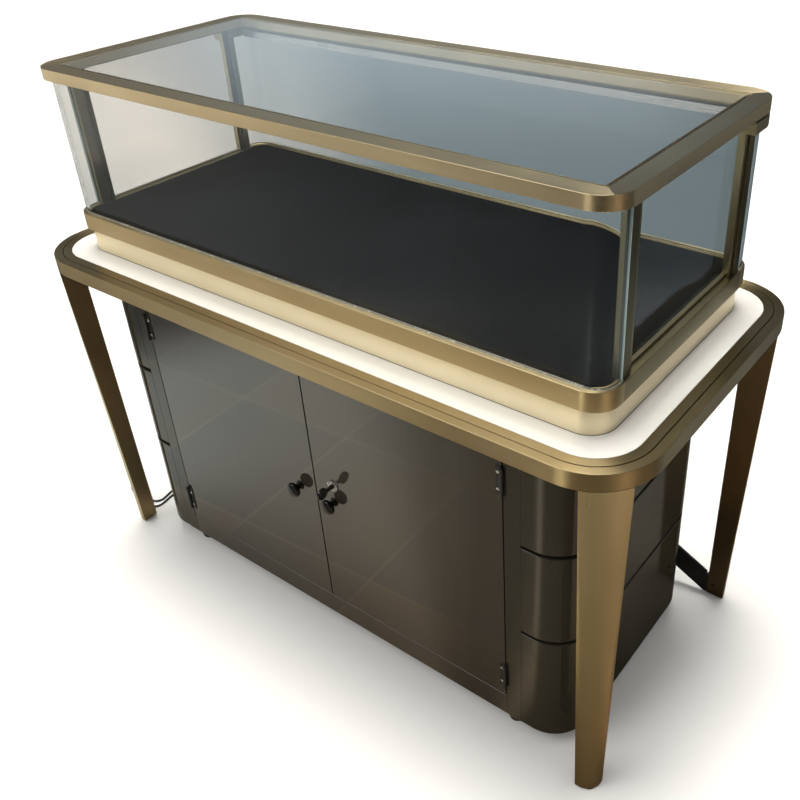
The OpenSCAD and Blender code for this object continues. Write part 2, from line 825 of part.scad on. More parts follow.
module pane_beads() {
    color(brass) both_sides() {
        block([pane_x, -post_y[0] + 0.3, glass_z], [post_x[1] - bead_in, -bead_y, glass_top]);
        block([pane_x, bead_y, glass_z], [post_x[1] - bead_in, post_y[0] - 0.3, rail_z]);
    }
}

// The black seal on the top edges of the front glass and the end panes
module lid_gasket() {
    color(black) translate([0, 0, glass_top]) linear_extrude(lid_slot - 0.4) {
        difference() {
            ring_2d(glass_l, glass_d, glass_r, -1, glass_t + 1);
            translate([-glass_l, -post_y[0]]) square([2 * glass_l, glass_d]);
        }
        both_sides() translate([pane_x - glass_t + 0.5, -post_y[0] + 0.5])
            square([glass_t - 1, post_y[0] + bead_y - 1]);
    }
}

// The fixed rail on the back glass, round the rear corners to the end panes
module rear_rail() {
    color(brass) difference() {
        translate([0, 0, rail_z]) linear_extrude(rail_h) difference() {
            plate_2d(lid_l, lid_d, lid_r);
            plate_2d(2 * pane_x, lid_d - 2 * rail_w, opening_r);
            translate([-lid_l, -lid_d]) square([2 * lid_l, lid_d + bead_y]);
        }
        lead_channel();
    }
}

module led_profile() {
    color("silver") difference() {
        block([-led_x, led_y - led_w, rail_z + 2], [led_x, led_y, rail_z + 2 + led_h]);
        block([led_wall - led_x, led_y - led_w + led_wall, rail_z + 1],
            [led_x - led_wall, led_y - led_wall, rail_z + led_h]);
    }
    color("white") block([led_wall - led_x, led_y - led_w + led_wall, rail_z + 2.5],
        [led_x - led_wall, led_y - led_wall, rail_z + 4.5]);
}

module led_driver() {
    color("white") {
        block([-driver_x[1], inner_rear - driver_d, driver_z[0]], [-driver_x[0], inner_rear, driver_z[1]]);
        block([-driver_x[1] - lug, inner_rear - 3, driver_z[0] + 12],
            [-driver_x[0] + lug, inner_rear, driver_z[1] - 12]);
    }
}

// The lead itself: round wire, bent square at each corner
module led_lead() {
    color(black) for (i = [1 : len(lead_route) - 1]) {
        rod(lead_route[i - 1], lead_route[i], lead_r);
        if (i < len(lead_route) - 1) translate(lead_route[i]) sphere(lead_r, $fn = 32);
    }
}

// Lid: a frame with a ledge that holds the glass flush with its top
module lid_opening_2d(inset) {
    plate_2d(lid_l - 2 * lid_frame_w, lid_d - 2 * lid_frame_w, opening_r, inset);
}

module lid_frame() {
    color(brass) difference() {
        translate([0, 0, lid_z]) linear_extrude(lid_h) plate_2d(lid_l, lid_d, lid_r);
        translate([0, 0, lid_z - 1]) linear_extrude(lid_h + 2) lid_opening_2d(ledge_in);
        translate([0, 0, lid_z + lid_h - glass_t]) linear_extrude(glass_t + 1) lid_opening_2d(0);
    }
}

module lid_glass() {
    color("#cfe3dc", 0.3) translate([0, 0, lid_z + lid_h - glass_t]) linear_extrude(glass_t)
        lid_opening_2d(0.3);
}

// One leaf of the lid's hinge: every other knuckle along the back, and a strip in the slot
module lid_leaf(first, z0, z1) {
    x0 = -lid_knuckles * knuckle_pitch / 2;
    difference() {
        union() {
            block([x0, lid_d / 2 - lid_leaf_in, z0], [-x0, lid_d / 2 - 0.6, z1]);
            for (i = [first : 2 : lid_knuckles - 1]) {
                xa = x0 + i * knuckle_pitch + 0.3;
                xb = xa + knuckle_pitch - 0.6;
                translate([xa, hinge_axis.x, hinge_axis.y]) rotate([0, 90, 0])
                    cylinder(h = xb - xa, r = lid_barrel_r);
                block([xa, lid_d / 2 - 1, z0], [xb, hinge_axis.x, z1]);
            }
        }
        translate([x0 - 1, hinge_axis.x, hinge_axis.y]) rotate([0, 90, 0])
            cylinder(h = 2 - 2 * x0, r = lid_pin_r + pin_clear);
    }
}

// The lower leaf lies on the rail and carries the pin, the upper one is under the lid
module lid_hinge_lower() {
    color(black) lid_leaf(0, glass_top, glass_top + lid_leaf_t);
    color(black) translate([-lid_knuckles * knuckle_pitch / 2, hinge_axis.x, hinge_axis.y])
        rotate([0, 90, 0]) cylinder(h = lid_knuckles * knuckle_pitch, r = lid_pin_r);
}

module lid_hinge_upper() { color(black) lid_leaf(1, lid_z - lid_leaf_t, lid_z); }

// Mains cord: a gland in the back panel with its tapered relief, then the lead, its coil and the plug
module cord_gland() {
    color(black) translate([gland.x, gland.y, gland.z]) rotate([-90, 0, 0]) rotate_extrude() polygon([
        [0, -back_t - 4], [gland_r, -back_t - 4], [gland_r, -back_t], [gland_hole_r - 0.1, -back_t],
        [gland_hole_r - 0.1, 0], [gland_r, 0], [gland_r, 4], [6, 6],
        [cord_d / 2 + 0.8, gland_l], [0, gland_l]
    ]);
}

function unit(v) = v / norm(v);
function heading(p, i) = unit(p[min(i + 1, len(p) - 1)] - p[max(i - 1, 0)]);
function cord_ring(p, i, r, n) =
    let (t = heading(p, i), side = unit(cross(t, [0, 0, 1])), up = cross(side, t))
    [for (k = [0 : n - 1]) p[i] + r * cos(360 * k / n) * side + r * sin(360 * k / n) * up];

module tube(p, r, n = 8) {
    m = len(p);
    points = [for (i = [0 : m - 1]) each cord_ring(p, i, r, n)];
    sides = [
        for (i = [0 : m - 2], k = [0 : n - 1])
            [i * n + k, i * n + (k + 1) % n, (i + 1) * n + (k + 1) % n, (i + 1) * n + k]
    ];
    first_cap = [[for (k = [n - 1 : -1 : 0]) k]];
    last_cap = [[for (k = [0 : n - 1]) (m - 1) * n + k]];
    polyhedron(points, concat(sides, first_cap, last_cap), convexity = 10);
}

module mains_cord() {
    color(black) translate([gland.x, gland.y, 0]) {
        tube(cord_route, cord_d / 2);
        tube(tail_route, cord_d / 2);
    }
}

module cord_coil() {
    w = coil_rows * cord_d;
    color(black) translate([gland.x + coil_mid.x, gland.y + coil_mid.y, 0]) rotate_extrude()
        translate([coil_r - w / 2, 0]) square([w, 2 * cord_d]);
}

// Flat two-pin plug, lying on the floor, with its tapered relief
module mains_plug() {
    end = tail_route[len(tail_route) - 1];
    color(black) translate([gland.x + end.x, gland.y + end.y, end.z]) {
        rotate([0, 90, 0]) cylinder(h = plug_relief + EPS, r1 = cord_d / 2 + 0.8, r2 = 6.5);
        translate([plug_relief, 0, 0]) rotate([90, 0, 90]) linear_extrude(plug_size.x)
            plate_2d(plug_size.y, plug_size.z, 5);
        for (y = [-plug_pin[2], plug_pin[2]]) translate([plug_relief + plug_size.x - EPS, y, 0])
            rotate([0, 90, 0]) cylinder(h = plug_pin[1], r = plug_pin[0], $fn = 32);
    }
}

table_rim();
rim_trim();
counter_board();
counter_panel();
legs_front();
legs_rear();
leg_glides();
brace_low_right();
brace_low_left();
brace_fixings();
cabinet_base();
cabinet_top();
cabinet_floor();
carcass_sides();
cabinet_back();
cabinet_feet();
front_stiles();
front_rails();
wing_cores();
wing_panels_left();
wing_panels_right();
shelf();
shelf_pins();
magnetic_catches();
door_left();
door_right();
knob_left();
knob_right();
hinge_leaves_fixed();
hinge_leaves_left();
hinge_leaves_right();
hinge_pins();
strike_left();
strike_right();
lock_barrel();
lock_plug();
lock_key();
case_plinth();
deck_board();
display_deck();
band_front_rear();
band_ends();
front_glass();
back_glass();
end_panes();
corner_posts();
pane_beads();
lid_gasket();
rear_rail();
led_profile();
led_driver();
led_lead();
lid_frame();
lid_glass();
lid_hinge_lower();
lid_hinge_upper();
cord_gland();
mains_cord();
cord_coil();
mains_plug();
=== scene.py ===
"""A jewellery showcase: a glazed case with a lifting lid, on a gold-rimmed counter over a gloss cabinet."""
import math

import bmesh
import bpy
import numpy as np
from mathutils import Matrix


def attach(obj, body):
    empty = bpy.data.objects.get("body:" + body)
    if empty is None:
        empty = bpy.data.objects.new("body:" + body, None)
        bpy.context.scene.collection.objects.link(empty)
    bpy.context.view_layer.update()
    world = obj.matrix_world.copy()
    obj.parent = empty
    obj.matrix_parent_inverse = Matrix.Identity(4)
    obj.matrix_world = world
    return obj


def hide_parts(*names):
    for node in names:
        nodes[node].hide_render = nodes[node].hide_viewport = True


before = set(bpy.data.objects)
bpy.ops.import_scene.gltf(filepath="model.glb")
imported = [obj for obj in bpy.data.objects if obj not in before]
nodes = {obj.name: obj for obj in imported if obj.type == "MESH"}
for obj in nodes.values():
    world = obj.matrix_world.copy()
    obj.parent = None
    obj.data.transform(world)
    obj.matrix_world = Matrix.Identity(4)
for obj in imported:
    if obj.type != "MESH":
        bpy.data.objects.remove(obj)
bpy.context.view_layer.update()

MM = 0.001


# Camera
# It stands in front of the right-hand end, a little above the lid, where the photograph was taken.
# The frame's middle is off the lens axis, so a small shift puts it back.
AZIMUTH, ELEVATION, ROLL = (math.radians(a) for a in (37.2, 31.96, -2.03))
EYE = (0.9489, -1.0202, 1.3229)
FOCAL_PX, AXIS_PX, IMAGE_PX = 919.4, (475.4, 358.2), 800
SENSOR = 36.0


def placed(name, data):
    """A new object in the scene."""
    obj = bpy.data.objects.new(name, data)
    bpy.context.scene.collection.objects.link(obj)
    return obj


look = np.array([
    -math.sin(AZIMUTH) * math.cos(ELEVATION),
    math.cos(AZIMUTH) * math.cos(ELEVATION),
    -math.sin(ELEVATION),
])
level_right = np.array([math.cos(AZIMUTH), math.sin(AZIMUTH), 0.0])
level_up = np.cross(level_right, look)
right = math.cos(ROLL) * level_right + math.sin(ROLL) * level_up
up = math.cos(ROLL) * level_up - math.sin(ROLL) * level_right
camera = placed("camera", bpy.data.cameras.new("camera"))
camera.matrix_world = Matrix([(*row, e) for row, e in zip(np.column_stack([right, up, -look]), EYE)] + [(0, 0, 0, 1)])
camera.data.sensor_width = SENSOR
camera.data.lens = FOCAL_PX / IMAGE_PX * SENSOR
camera.data.shift_x = (IMAGE_PX / 2 - AXIS_PX[0]) / IMAGE_PX
camera.data.shift_y = (AXIS_PX[1] - IMAGE_PX / 2) / IMAGE_PX
camera.data.clip_end = 50
bpy.context.scene.camera = camera


# Mains lead
# A black round two-core lead. It leaves a gland low in the cabinet's back, runs forward along the
# left side, turns round behind the front left leg and comes back to a small coil behind the cabinet.
CORD_D = 0.004
CORD_Z = 2.1
GRAIN_SIZE = 0.0004
DOWN_ROUTE = [
    (-300, 230, 92), (-300, 242, 92), (-301, 257, 89), (-304, 271, 80), (-308, 282, 66), (-313, 290, 49),
    (-320, 295, 32), (-330, 298, 17), (-344, 299, 7), (-362, 298, 3),
]
FLOOR_ROUTE = [
    (-385, 295), (-415, 288), (-446, 275), (-470, 258), (-492, 238), (-512, 214), (-529, 186), (-541, 152),
    (-548, 100), (-551, 20), (-553, -80), (-555, -150), (-555, -175), (-552, -191), (-551, -203),
    (-552.5, -210), (-556.7, -215.3), (-562.9, -218.5), (-570, -219), (-581, -218), (-595, -216.8),
    (-610, -216), (-625, -214.5), (-639.5, -211), (-652, -205.9), (-658.2, -200.5), (-660.7, -192.5),
    (-658.9, -184.4), (-653.3, -178.3), (-645.4, -175.7), (-637.4, -177.5), (-622.5, -185.6), (-604.8, -194.9),
    (-586.3, -204.2), (-578.4, -206), (-570.5, -203.6), (-565, -197.8), (-563, -190), (-565, -177),
    (-569, -160), (-571, -130), (-571, -50), (-572, 50), (-573, 150), (-573, 220), (-570, 265), (-559, 303),
    (-543, 330), (-527, 349), (-519.5, 361),
]
COIL_MID, COIL_R, COIL_PITCH, COIL_STEP = (-492, 372), 22, 4.15, 1 / 24
COIL_RADII = (1, 0, -1, -0.5, 0.5)
COIL_LAYERS = (0, 0, 0, 1, 1)
LAYER_RISE = 3.6
TAIL_ROUTE = [
    (-482, 396.3, 6), (-473, 397.5, 5.2), (-464, 399.5, 3.4), (-455, 402.5, CORD_Z), (-440, 409, CORD_Z),
    (-425, 415, CORD_Z), (-412, 419, 2.6), (-400, 422, 4.2), (-390, 424.3, 6.2), (-380, 425, 7.1),
]


def at_height(line, z):
    """A flat line of (x, y) points, at the height z."""
    return np.column_stack([line, np.full(len(line), z)])


def smooth_step(t):
    """0 to 1 along t, slow at both ends: three t squared less two t cubed, held outside."""
    t = np.clip(t, 0, 1)
    return t * t * (3 - 2 * t)


def through(points, steps):
    """A Catmull-Rom curve through points: on each span, the cubic whose ends' slopes are half the step
    between their neighbours, taken at steps equal parts."""
    p = np.asarray(points, float)
    p = np.vstack([2 * p[0] - p[1], p, 2 * p[-1] - p[-2]])
    t = np.linspace(0, 1, steps, endpoint=False)[None, :, None]
    a, b, c, d = (p[i:len(p) - 3 + i, None, :] for i in range(4))
    curve = 0.5 * (2 * b + (c - a) * t + (2 * a - 5 * b + 4 * c - d) * t**2 + (3 * b - a - 3 * c + d) * t**3)
    return np.vstack([curve.reshape(-1, 3), p[-2]])


def coil_line():
    """The coil's line, clockwise from the left: the angle falls evenly, and radius and height ease
    from each turn's to the next over the last sixth of the turn."""
    n = len(COIL_RADII)
    t = np.arange(COIL_STEP, n + 0.25, COIL_STEP)
    whole = np.clip(np.floor(t).astype(int), 0, n - 1)
    after = np.clip(whole + 1, 0, n - 1)
    ease = smooth_step((t - whole - 5 / 6) * 6)
    radii, layers = np.array(COIL_RADII) * COIL_PITCH, np.array(COIL_LAYERS) * LAYER_RISE
    r = COIL_R + radii[whole] * (1 - ease) + radii[after] * ease
    z = CORD_Z + layers[whole] * (1 - ease) + layers[after] * ease
    a = math.pi - 2 * math.pi * t
    return np.column_stack([COIL_MID[0] + r * np.cos(a), COIL_MID[1] + r * np.sin(a), z])


cord_points = np.vstack([DOWN_ROUTE, at_height(FLOOR_ROUTE, CORD_Z), coil_line(), TAIL_ROUTE])
cord_line = through(cord_points, 5) * MM
cord_curve = bpy.data.curves.new("mains_lead", "CURVE")
cord_curve.dimensions = "3D"
cord_curve.bevel_depth = 1
cord_curve.bevel_resolution = 4
cord_curve.use_fill_caps = True
spline = cord_curve.splines.new("POLY")
spline.points.add(len(cord_line) - 1)
spline.points.foreach_set("co", np.column_stack([cord_line, np.ones(len(cord_line))]).ravel())
spline.points.foreach_set("radius", np.full(len(cord_line), CORD_D / 2))
spline.use_smooth = True
cord = placed("mains_lead", cord_curve)
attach(cord, "showcase")
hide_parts("mains_cord", "cord_coil")


def feed(tree, node, sockets):
    """Each socket, by name or number, gets its value, or the output that feeds it."""
    for socket, source in sockets.items():
        if isinstance(source, bpy.types.NodeSocket):
            tree.links.new(source, node.inputs[socket])
        else:
            node.inputs[socket].default_value = source
    return node


def add(tree, kind, sockets, **settings):
    """A new shader node of one kind, with its settings made and its sockets fed."""
    made = tree.nodes.new("ShaderNode" + kind)
    for name, value in settings.items():
        setattr(made, name, value)
    return feed(tree, made, sockets)


def shade(mat, sockets):
    """Sockets of a material's main shader, set or fed."""
    feed(mat.node_tree, mat.node_tree.nodes["Principled BSDF"], sockets)


def new_material(name, sockets):
    mat = bpy.data.materials.new(name)
    mat.use_nodes = True
    shade(mat, sockets)
    return mat


def object_place(tree):
    return add(tree, "TexCoord", {}).outputs["Object"]


def bumped(mat, height, strength, depth):
    """A bump on the main shader, from the output that gives its height."""
    bump = add(mat.node_tree, "Bump", {"Height": height, "Strength": strength, "Distance": depth})
    shade(mat, {"Normal": bump.outputs["Normal"]})
    return mat


def plastic(name, colour, rough, grain=0.0, specular=0.5, cloud=60, drift=0.0, metal=0):
    """Plastic, rubber, paint or, with metal 1, smooth metal: one colour with faint cloudy roughness,
    and a fine grain. cloud is the scale of the roughness marks and drift their distortion."""
    mat = new_material(name, {"Base Color": (*colour, 1), "Specular IOR Level": specular, "Metallic": metal})
    tree = mat.node_tree
    place = object_place(tree)
    marks = add(tree, "TexNoise", {"Vector": place, "Scale": cloud, "Detail": 4, "Distortion": drift})
    spread = add(tree, "MapRange", {
        "Value": marks.outputs["Fac"], "To Min": rough * 0.8, "To Max": min(1, rough * 1.25),
    })
    shade(mat, {"Roughness": spread.outputs["Result"]})
    if grain:
        fine = add(tree, "TexNoise", {"Vector": place, "Scale": 1 / GRAIN_SIZE})
        bumped(mat, fine.outputs["Fac"], grain, GRAIN_SIZE / 4)
    return mat


def finish_node(mat, *names):
    """These CAD nodes keep their solids and take this finish."""
    for n in names:
        nodes[n].data.materials.clear()
        nodes[n].data.materials.append(mat)


cord_rubber = plastic("cord_rubber", (0.014, 0.014, 0.015), 0.42, 0.3)
cord_curve.materials.append(cord_rubber)
black_nylon = plastic("black_nylon", (0.016, 0.016, 0.017), 0.45, 0.5)
finish_node(black_nylon, "mains_plug", "cord_gland", "cabinet_feet", "leg_glides", "magnetic_catches")


# Counter rim and trim
# Two brushed champagne-gold bands bent round the counter top, with a thin dark joint between them.
# The outer one is a folded angle that also carries the board; the grain runs along the bands.
RIM_HALF = (600, 288)
RIM_R = 100
RIM_Z = (609, 636)
RIM_W, RIM_JOINT, RIM_FLOOR, RIM_FLOOR_T = 14.5, 1.5, 50, 3
EDGE_R = 1.4
ARC_STEPS, SIDE_STEPS, SHORT_STEPS = 20, 12, 3
GRAIN_ALONG, GRAIN_ACROSS = 5, 900


def fillet(corners, radius, steps=3):
    """A closed outline with each corner cut back by radius and rounded: a quarter-like arc as the
    quadratic curve between the two cut points with the corner as its middle control point."""
    c = np.asarray(corners, float)
    before, after = np.roll(c, 1, 0) - c, np.roll(c, -1, 0) - c
    reach = np.broadcast_to(radius, len(c))[:, None]
    start = c + before / np.linalg.norm(before, axis=1, keepdims=True) * reach
    end = c + after / np.linalg.norm(after, axis=1, keepdims=True) * reach
    t = np.linspace(0, 1, steps + 1)[None, :, None]
    arc = (1 - t) ** 2 * start[:, None] + 2 * t * (1 - t) * c[:, None] + t**2 * end[:, None]
    return arc.reshape(-1, 2)


def strip(z0, z1, x0, x1):
    """The corners of a section through a strip: up its outer side, x0, and down its inner one, x1."""
    return [(x0, z0), (x0, z1), (x1, z1), (x1, z0)]


def round_path(half_x, half_y, radius, kind="ring", end=0.0):
    """A path round a rectangle with round corners, anticlockwise: straight sides in equal steps and
    corners as arcs. kind is ring (closed), front (from the left end at y = end round the front to
    the right end) or back (from the right end round the back to the left end)."""
    def line(a, b, steps):
        t = np.linspace(0, 1, steps, endpoint=False)[:, None]
        return np.asarray(a) * (1 - t) + np.asarray(b) * t

    def arc(cx, cy, first):
        a = np.radians(np.linspace(first, first + 90, ARC_STEPS, endpoint=False))
        return np.column_stack([cx + radius * np.cos(a), cy + radius * np.sin(a)])

    x, y, r = half_x, half_y, radius
    front = [
        line((-x, end if kind == "front" else 0), (-x, r - y), SHORT_STEPS), arc(r - x, r - y, 180),
        line((r - x, -y), (x - r, -y), SIDE_STEPS), arc(x - r, r - y, 270),
    ]
    back = [
        line((x, end if kind == "back" else r - y), (x, y - r), SHORT_STEPS), arc(x - r, y - r, 0),
        line((x - r, y), (r - x, y), SIDE_STEPS), arc(r - x, y - r, 90),
    ]
    if kind == "front":
        return np.vstack(front + [line((x, r - y), (x, end), SHORT_STEPS), [(x, end)]])
    if kind == "back":
        return np.vstack(back + [line((-x, y - r), (-x, end), SHORT_STEPS), [(-x, end)]])
    return np.vstack(front + back + [line((-x, y - r), (-x, 0), SHORT_STEPS)])


def grid_mesh(name, grid, round_u, round_v, ends=False, smooth_angle=32):
    """A mesh from a grid of points [section, along, xyz] in millimetres: a quad for each cell, closed
    round the sections if round_v and along the path if round_u, with flat end faces if ends. Its UV
    map is in metres: u along the path, v across it."""
    n, m = grid.shape[:2]
    rows = n if round_v else n - 1
    cols = m if round_u else m - 1
    i, j = np.meshgrid(np.arange(rows), np.arange(cols), indexing="ij")
    i2, j2 = (i + 1) % n, (j + 1) % m
    quads = np.stack([i * m + j, i * m + j2, i2 * m + j2, i2 * m + j], -1).reshape(-1, 4)
    closed = grid[:, list(range(m)) + [0]] if round_u else grid
    along = np.linalg.norm(np.diff(closed, axis=1), axis=2).max(0)
    u = np.concatenate([[0], np.cumsum(along)])
    around = grid[list(range(n)) + [0]] if round_v else grid
    v = np.concatenate([[0], np.cumsum(np.linalg.norm(np.diff(around, axis=0), axis=2).mean(1))])
    uv = np.stack([
        np.stack([u[j], v[i]], -1), np.stack([u[j + 1], v[i]], -1),
        np.stack([u[j + 1], v[i + 1]], -1), np.stack([u[j], v[i + 1]], -1),
    ], 2).reshape(-1, 2)
    faces = quads.tolist()
    if ends:
        faces += [(np.arange(n)[::-1] * m).tolist(), (np.arange(n) * m + m - 1).tolist()]
        uv = np.vstack([uv, np.zeros((2 * n, 2))])
    me = bpy.data.meshes.new(name)
    me.from_pydata(grid.reshape(-1, 3) * MM, [], faces)
    layer = me.uv_layers.new(name="grain")
    layer.uv.foreach_set("vector", (uv * MM).astype(np.float32).ravel())
    me.polygons.foreach_set("use_smooth", np.ones(len(faces), bool))
    me.set_sharp_from_angle(angle=math.radians(smooth_angle))
    return placed(name, me)


def banded(name, half, radius, profile, kind="ring", end=0.0, corner=None):
    """A profile of (inset, z) points carried round a rectangle with round corners. The corner radius
    shrinks with the inset, unless corner gives the radius for an inset."""
    corner = corner or (lambda inset: max(radius - inset, 1.0))
    loops = [at_height(round_path(half[0] - d, half[1] - d, corner(d), kind, end), z) for d, z in profile]
    return grid_mesh(name, np.stack(loops), kind == "ring", True, kind != "ring")


def dress(obj, mat, body, slot_name, *stands_for):
    """One new piece: its material, the body it rides on and the CAD nodes it stands for; slot_name is not used. Its
    flat faces keep flat light: each corner's normal is weighted by the area of the faces round it."""
    obj.data.materials.append(mat)
    flat = obj.modifiers.new("flat_faces", "WEIGHTED_NORMAL")
    flat.keep_sharp = True
    flat.weight = 60
    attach(obj, body)
    if stands_for:
        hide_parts(*stands_for)
    return obj


def mixed(tree, share, a, b, kind="MIX"):
    """Two tones mixed, or joined as kind says. Each is an output or a colour."""
    a, b = (tone if isinstance(tone, bpy.types.NodeSocket) else (*tone, 1) for tone in (a, b))
    return add(tree, "Mix", {0: share, 6: a, 7: b}, data_type="RGBA", blend_type=kind).outputs[2]


def brushed(name, colour, rough, along, streak=1.0):
    """Brushed metal: noise drawn out along the grain drives the colour a little, the roughness more,
    and a shallow bump. along is UV, or the axis that the grain runs along."""
    mat = new_material(name, {"Metallic": 1})
    tree = mat.node_tree
    if along == "UV":
        lie = add(tree, "Tangent", {}, direction_type="UV_MAP", uv_map="grain")
        shade(mat, {"Anisotropic": 0.86, "Anisotropic Rotation": 0.25, "Tangent": lie.outputs[0]})
    axis = "X" if along == "UV" else along
    scale = tuple(GRAIN_ALONG if a == axis else GRAIN_ACROSS for a in "XYZ")
    place = add(tree, "TexCoord", {}).outputs
    stretch = add(tree, "Mapping", {"Vector": place["UV" if along == "UV" else "Object"], "Scale": scale})
    hair = add(tree, "TexNoise", {"Vector": stretch.outputs[0], "Scale": 1, "Detail": 5, "Roughness": 0.7})
    hair = hair.outputs["Fac"]
    cloud = add(tree, "TexNoise", {"Vector": place["Object"], "Scale": 9, "Detail": 3})
    dark, light = (tuple(min(1, c * (1 + k * streak)) for c in colour) for k in (-0.13, 0.1))
    both = add(tree, "Math", {0: hair, 1: cloud.outputs["Fac"]})
    spread = add(tree, "MapRange", {
        "Value": both.outputs[0], "From Min": 0.6, "From Max": 1.4, "To Min": rough * 0.72, "To Max": rough * 1.3,
    })
    shade(mat, {"Base Color": mixed(tree, hair, dark, light), "Roughness": spread.outputs["Result"]})
    return bumped(mat, hair, 0.12 * streak, 0.0002)


gold_along = brushed("champagne_gold_along", (0.6, 0.475, 0.27), 0.36, "UV")
# The rim and trim take a darker copy of the champagne gold: painted shade, darker than the same sheet elsewhere.
rim_gold_painted_shade = brushed("champagne_rim_painted_shade", (0.46, 0.36, 0.2), 0.35, "UV")

floor_top, trim_out = RIM_Z[0] + RIM_FLOOR_T, RIM_W + RIM_JOINT
rim_profile = fillet([
    (0, RIM_Z[0]), (0, RIM_Z[1]), (RIM_W, RIM_Z[1]), (RIM_W, floor_top), (RIM_FLOOR, floor_top), (RIM_FLOOR, RIM_Z[0]),
], (EDGE_R, EDGE_R, EDGE_R * 0.6, 0.3, 0.3, 0.3))
dress(banded("counter_rim", RIM_HALF, RIM_R, rim_profile), rim_gold_painted_shade, "showcase", "brass", "table_rim")
trim_profile = fillet(strip(floor_top, RIM_Z[1], trim_out, trim_out + RIM_W), 0.5)
dress(banded("counter_trim", RIM_HALF, RIM_R, trim_profile), rim_gold_painted_shade, "showcase", "brass", "rim_trim")


# Counter panel and its board
# A white high-gloss sheet, flush with the trim, glued on a dark board. It has the faint waviness of
# laminate, and the soft marks of wiping.
def gloss_sheet(name, colour, rough, wave, coat=0.0):
    """Glossy sheet: one colour, roughness in faint cloudy wiping marks, and a long shallow wave."""
    mat = plastic(name, colour, rough, cloud=7, drift=1.2)
    shade(mat, {"Coat Weight": coat, "Coat Roughness": 0.03})
    ripple = add(mat.node_tree, "TexNoise", {"Vector": object_place(mat.node_tree), "Scale": 14})
    return bumped(mat, ripple.outputs["Fac"], wave, 0.002)


finish_node(gloss_sheet("white_laminate", (0.86, 0.84, 0.8), 0.12, 0.02), "counter_panel")
dark_board = plastic("dark_laminated_board", (0.035, 0.029, 0.024), 0.5, 0.2)
finish_node(dark_board, "counter_board", "cabinet_base", "cabinet_top", "cabinet_floor", "carcass_sides", "shelf")


# Legs
# Folded from the same champagne sheet, with the grain up the leg, and fixed under the rim's corners:
# two upright inner faces, and an outer side that flows from the small foot out to the corner.
LEG_IN = (534, 228)
LEG_FOOT = (566, 258)
TOE_R, TOE_POINTS = 26, 24
LEG_Z = (3, 609)
LEG_LEAN = 10
LEG_EDGE = 3.5
LEG_STEPS = 12


def leg_outline(t):
    """The leg's outline at height t, 0 at the foot and 1 at the top: each point goes straight from
    where the foot's outline faces an angle to where the rim's corner faces it."""
    a = np.radians(np.linspace(0, 90, TOE_POINTS))
    toe = np.column_stack([LEG_FOOT[0] - TOE_R + TOE_R * np.cos(a), LEG_FOOT[1] - TOE_R + TOE_R * np.sin(a)])
    cx, cy = RIM_HALF[0] - RIM_R, RIM_HALF[1] - RIM_R
    inner_y = LEG_IN[1] + LEG_LEAN * t
    low, high = math.asin((LEG_IN[1] + LEG_LEAN - cy) / RIM_R), math.acos((LEG_IN[0] - cx) / RIM_R)
    b = np.clip(a, low, high)
    top = np.column_stack([cx + RIM_R * np.cos(b), cy + RIM_R * np.sin(b)])
    outer = toe * (1 - t) + top * t
    inner = np.array([(LEG_IN[0], inner_y), (outer[0, 0], inner_y)])
    last = np.array([(LEG_IN[0], outer[-1, 1])])
    return np.vstack([inner, outer, last])


def mended(me, merge=0.0, flat=False, close=False, outward=False):
    """A mesh with points closer than merge made one, and, as asked, its flat faces joined, its holes
    closed and its faces turned outward."""
    bm = bmesh.new()
    bm.from_mesh(me)
    if merge:
        bmesh.ops.remove_doubles(bm, verts=bm.verts, dist=merge)
    if flat:
        bmesh.ops.dissolve_limit(bm, angle_limit=math.radians(0.5), verts=bm.verts, edges=bm.edges)
    if close:
        bmesh.ops.holes_fill(bm, edges=[e for e in bm.edges if e.is_boundary])
    if outward:
        bmesh.ops.recalc_face_normals(bm, faces=bm.faces)
    bm.to_mesh(me)
    bm.free()


def leg_mesh(name, sides):
    """Legs as stacks of outlines, each mirrored to its corner, in one piece."""
    parts = []
    for k, (sx, sy) in enumerate(sides):
        shares = np.linspace(0, 1, LEG_STEPS + 1)
        levels = [at_height(leg_outline(t), LEG_Z[0] + t * (LEG_Z[1] - LEG_Z[0])) for t in shares]
        grid = np.stack(levels) * (sx, sy, 1)
        if sx * sy < 0:
            grid = grid[:, ::-1]
        part = grid_mesh(f"{name}_{k}", grid.transpose(1, 0, 2)[::-1], False, True, True)
        mended(part.data, merge=1e-5, outward=True)
        part.data.set_sharp_from_angle(angle=math.radians(25))
        parts.append(part)
    return joined(name, parts)


def joined(name, parts):
    """Several meshes as one piece."""
    bpy.ops.object.select_all(action="DESELECT")
    for p in parts:
        p.select_set(True)
    bpy.context.view_layer.objects.active = parts[0]
    bpy.ops.object.join()
    parts[0].name = parts[0].data.name = name
    return parts[0]


def ease_edges(obj, width, segments=2, angle=30):
    """Sharp edges rounded over, with the flat faces left flat."""
    bevel = obj.modifiers.new("eased_edges", "BEVEL")
    bevel.width = width * MM
    bevel.segments = segments
    bevel.limit_method = "ANGLE"
    bevel.angle_limit = math.radians(angle)
    bevel.harden_normals = True
    return obj


def read(rows, field, width=3):
    """One field of a mesh's rows, as an array with a row for each: whole numbers if width is 1."""
    values = np.empty(len(rows) * width, np.int32 if width == 1 else float)
    rows.foreach_get(field, values)
    return values if width == 1 else values.reshape(-1, width)


def part_dressed(obj, mat, faces):
    """Some faces of a dressed piece take a second material."""
    obj.data.materials.append(mat)
    obj.data.polygons.foreach_set("material_index", faces.astype(np.int32))


def shade_inner_faces(obj):
    """The two flat inner faces of each leg take a darker bronze copy of the gold: painted shade, as the floor they
    mirror under the counter lies in shade.
    """
    faces = obj.data.polygons
    inward = -read(faces, "normal") * np.sign(read(faces, "center"))
    part_dressed(obj, inner_face_shade, inward[:, :2].max(1) > 0.9)


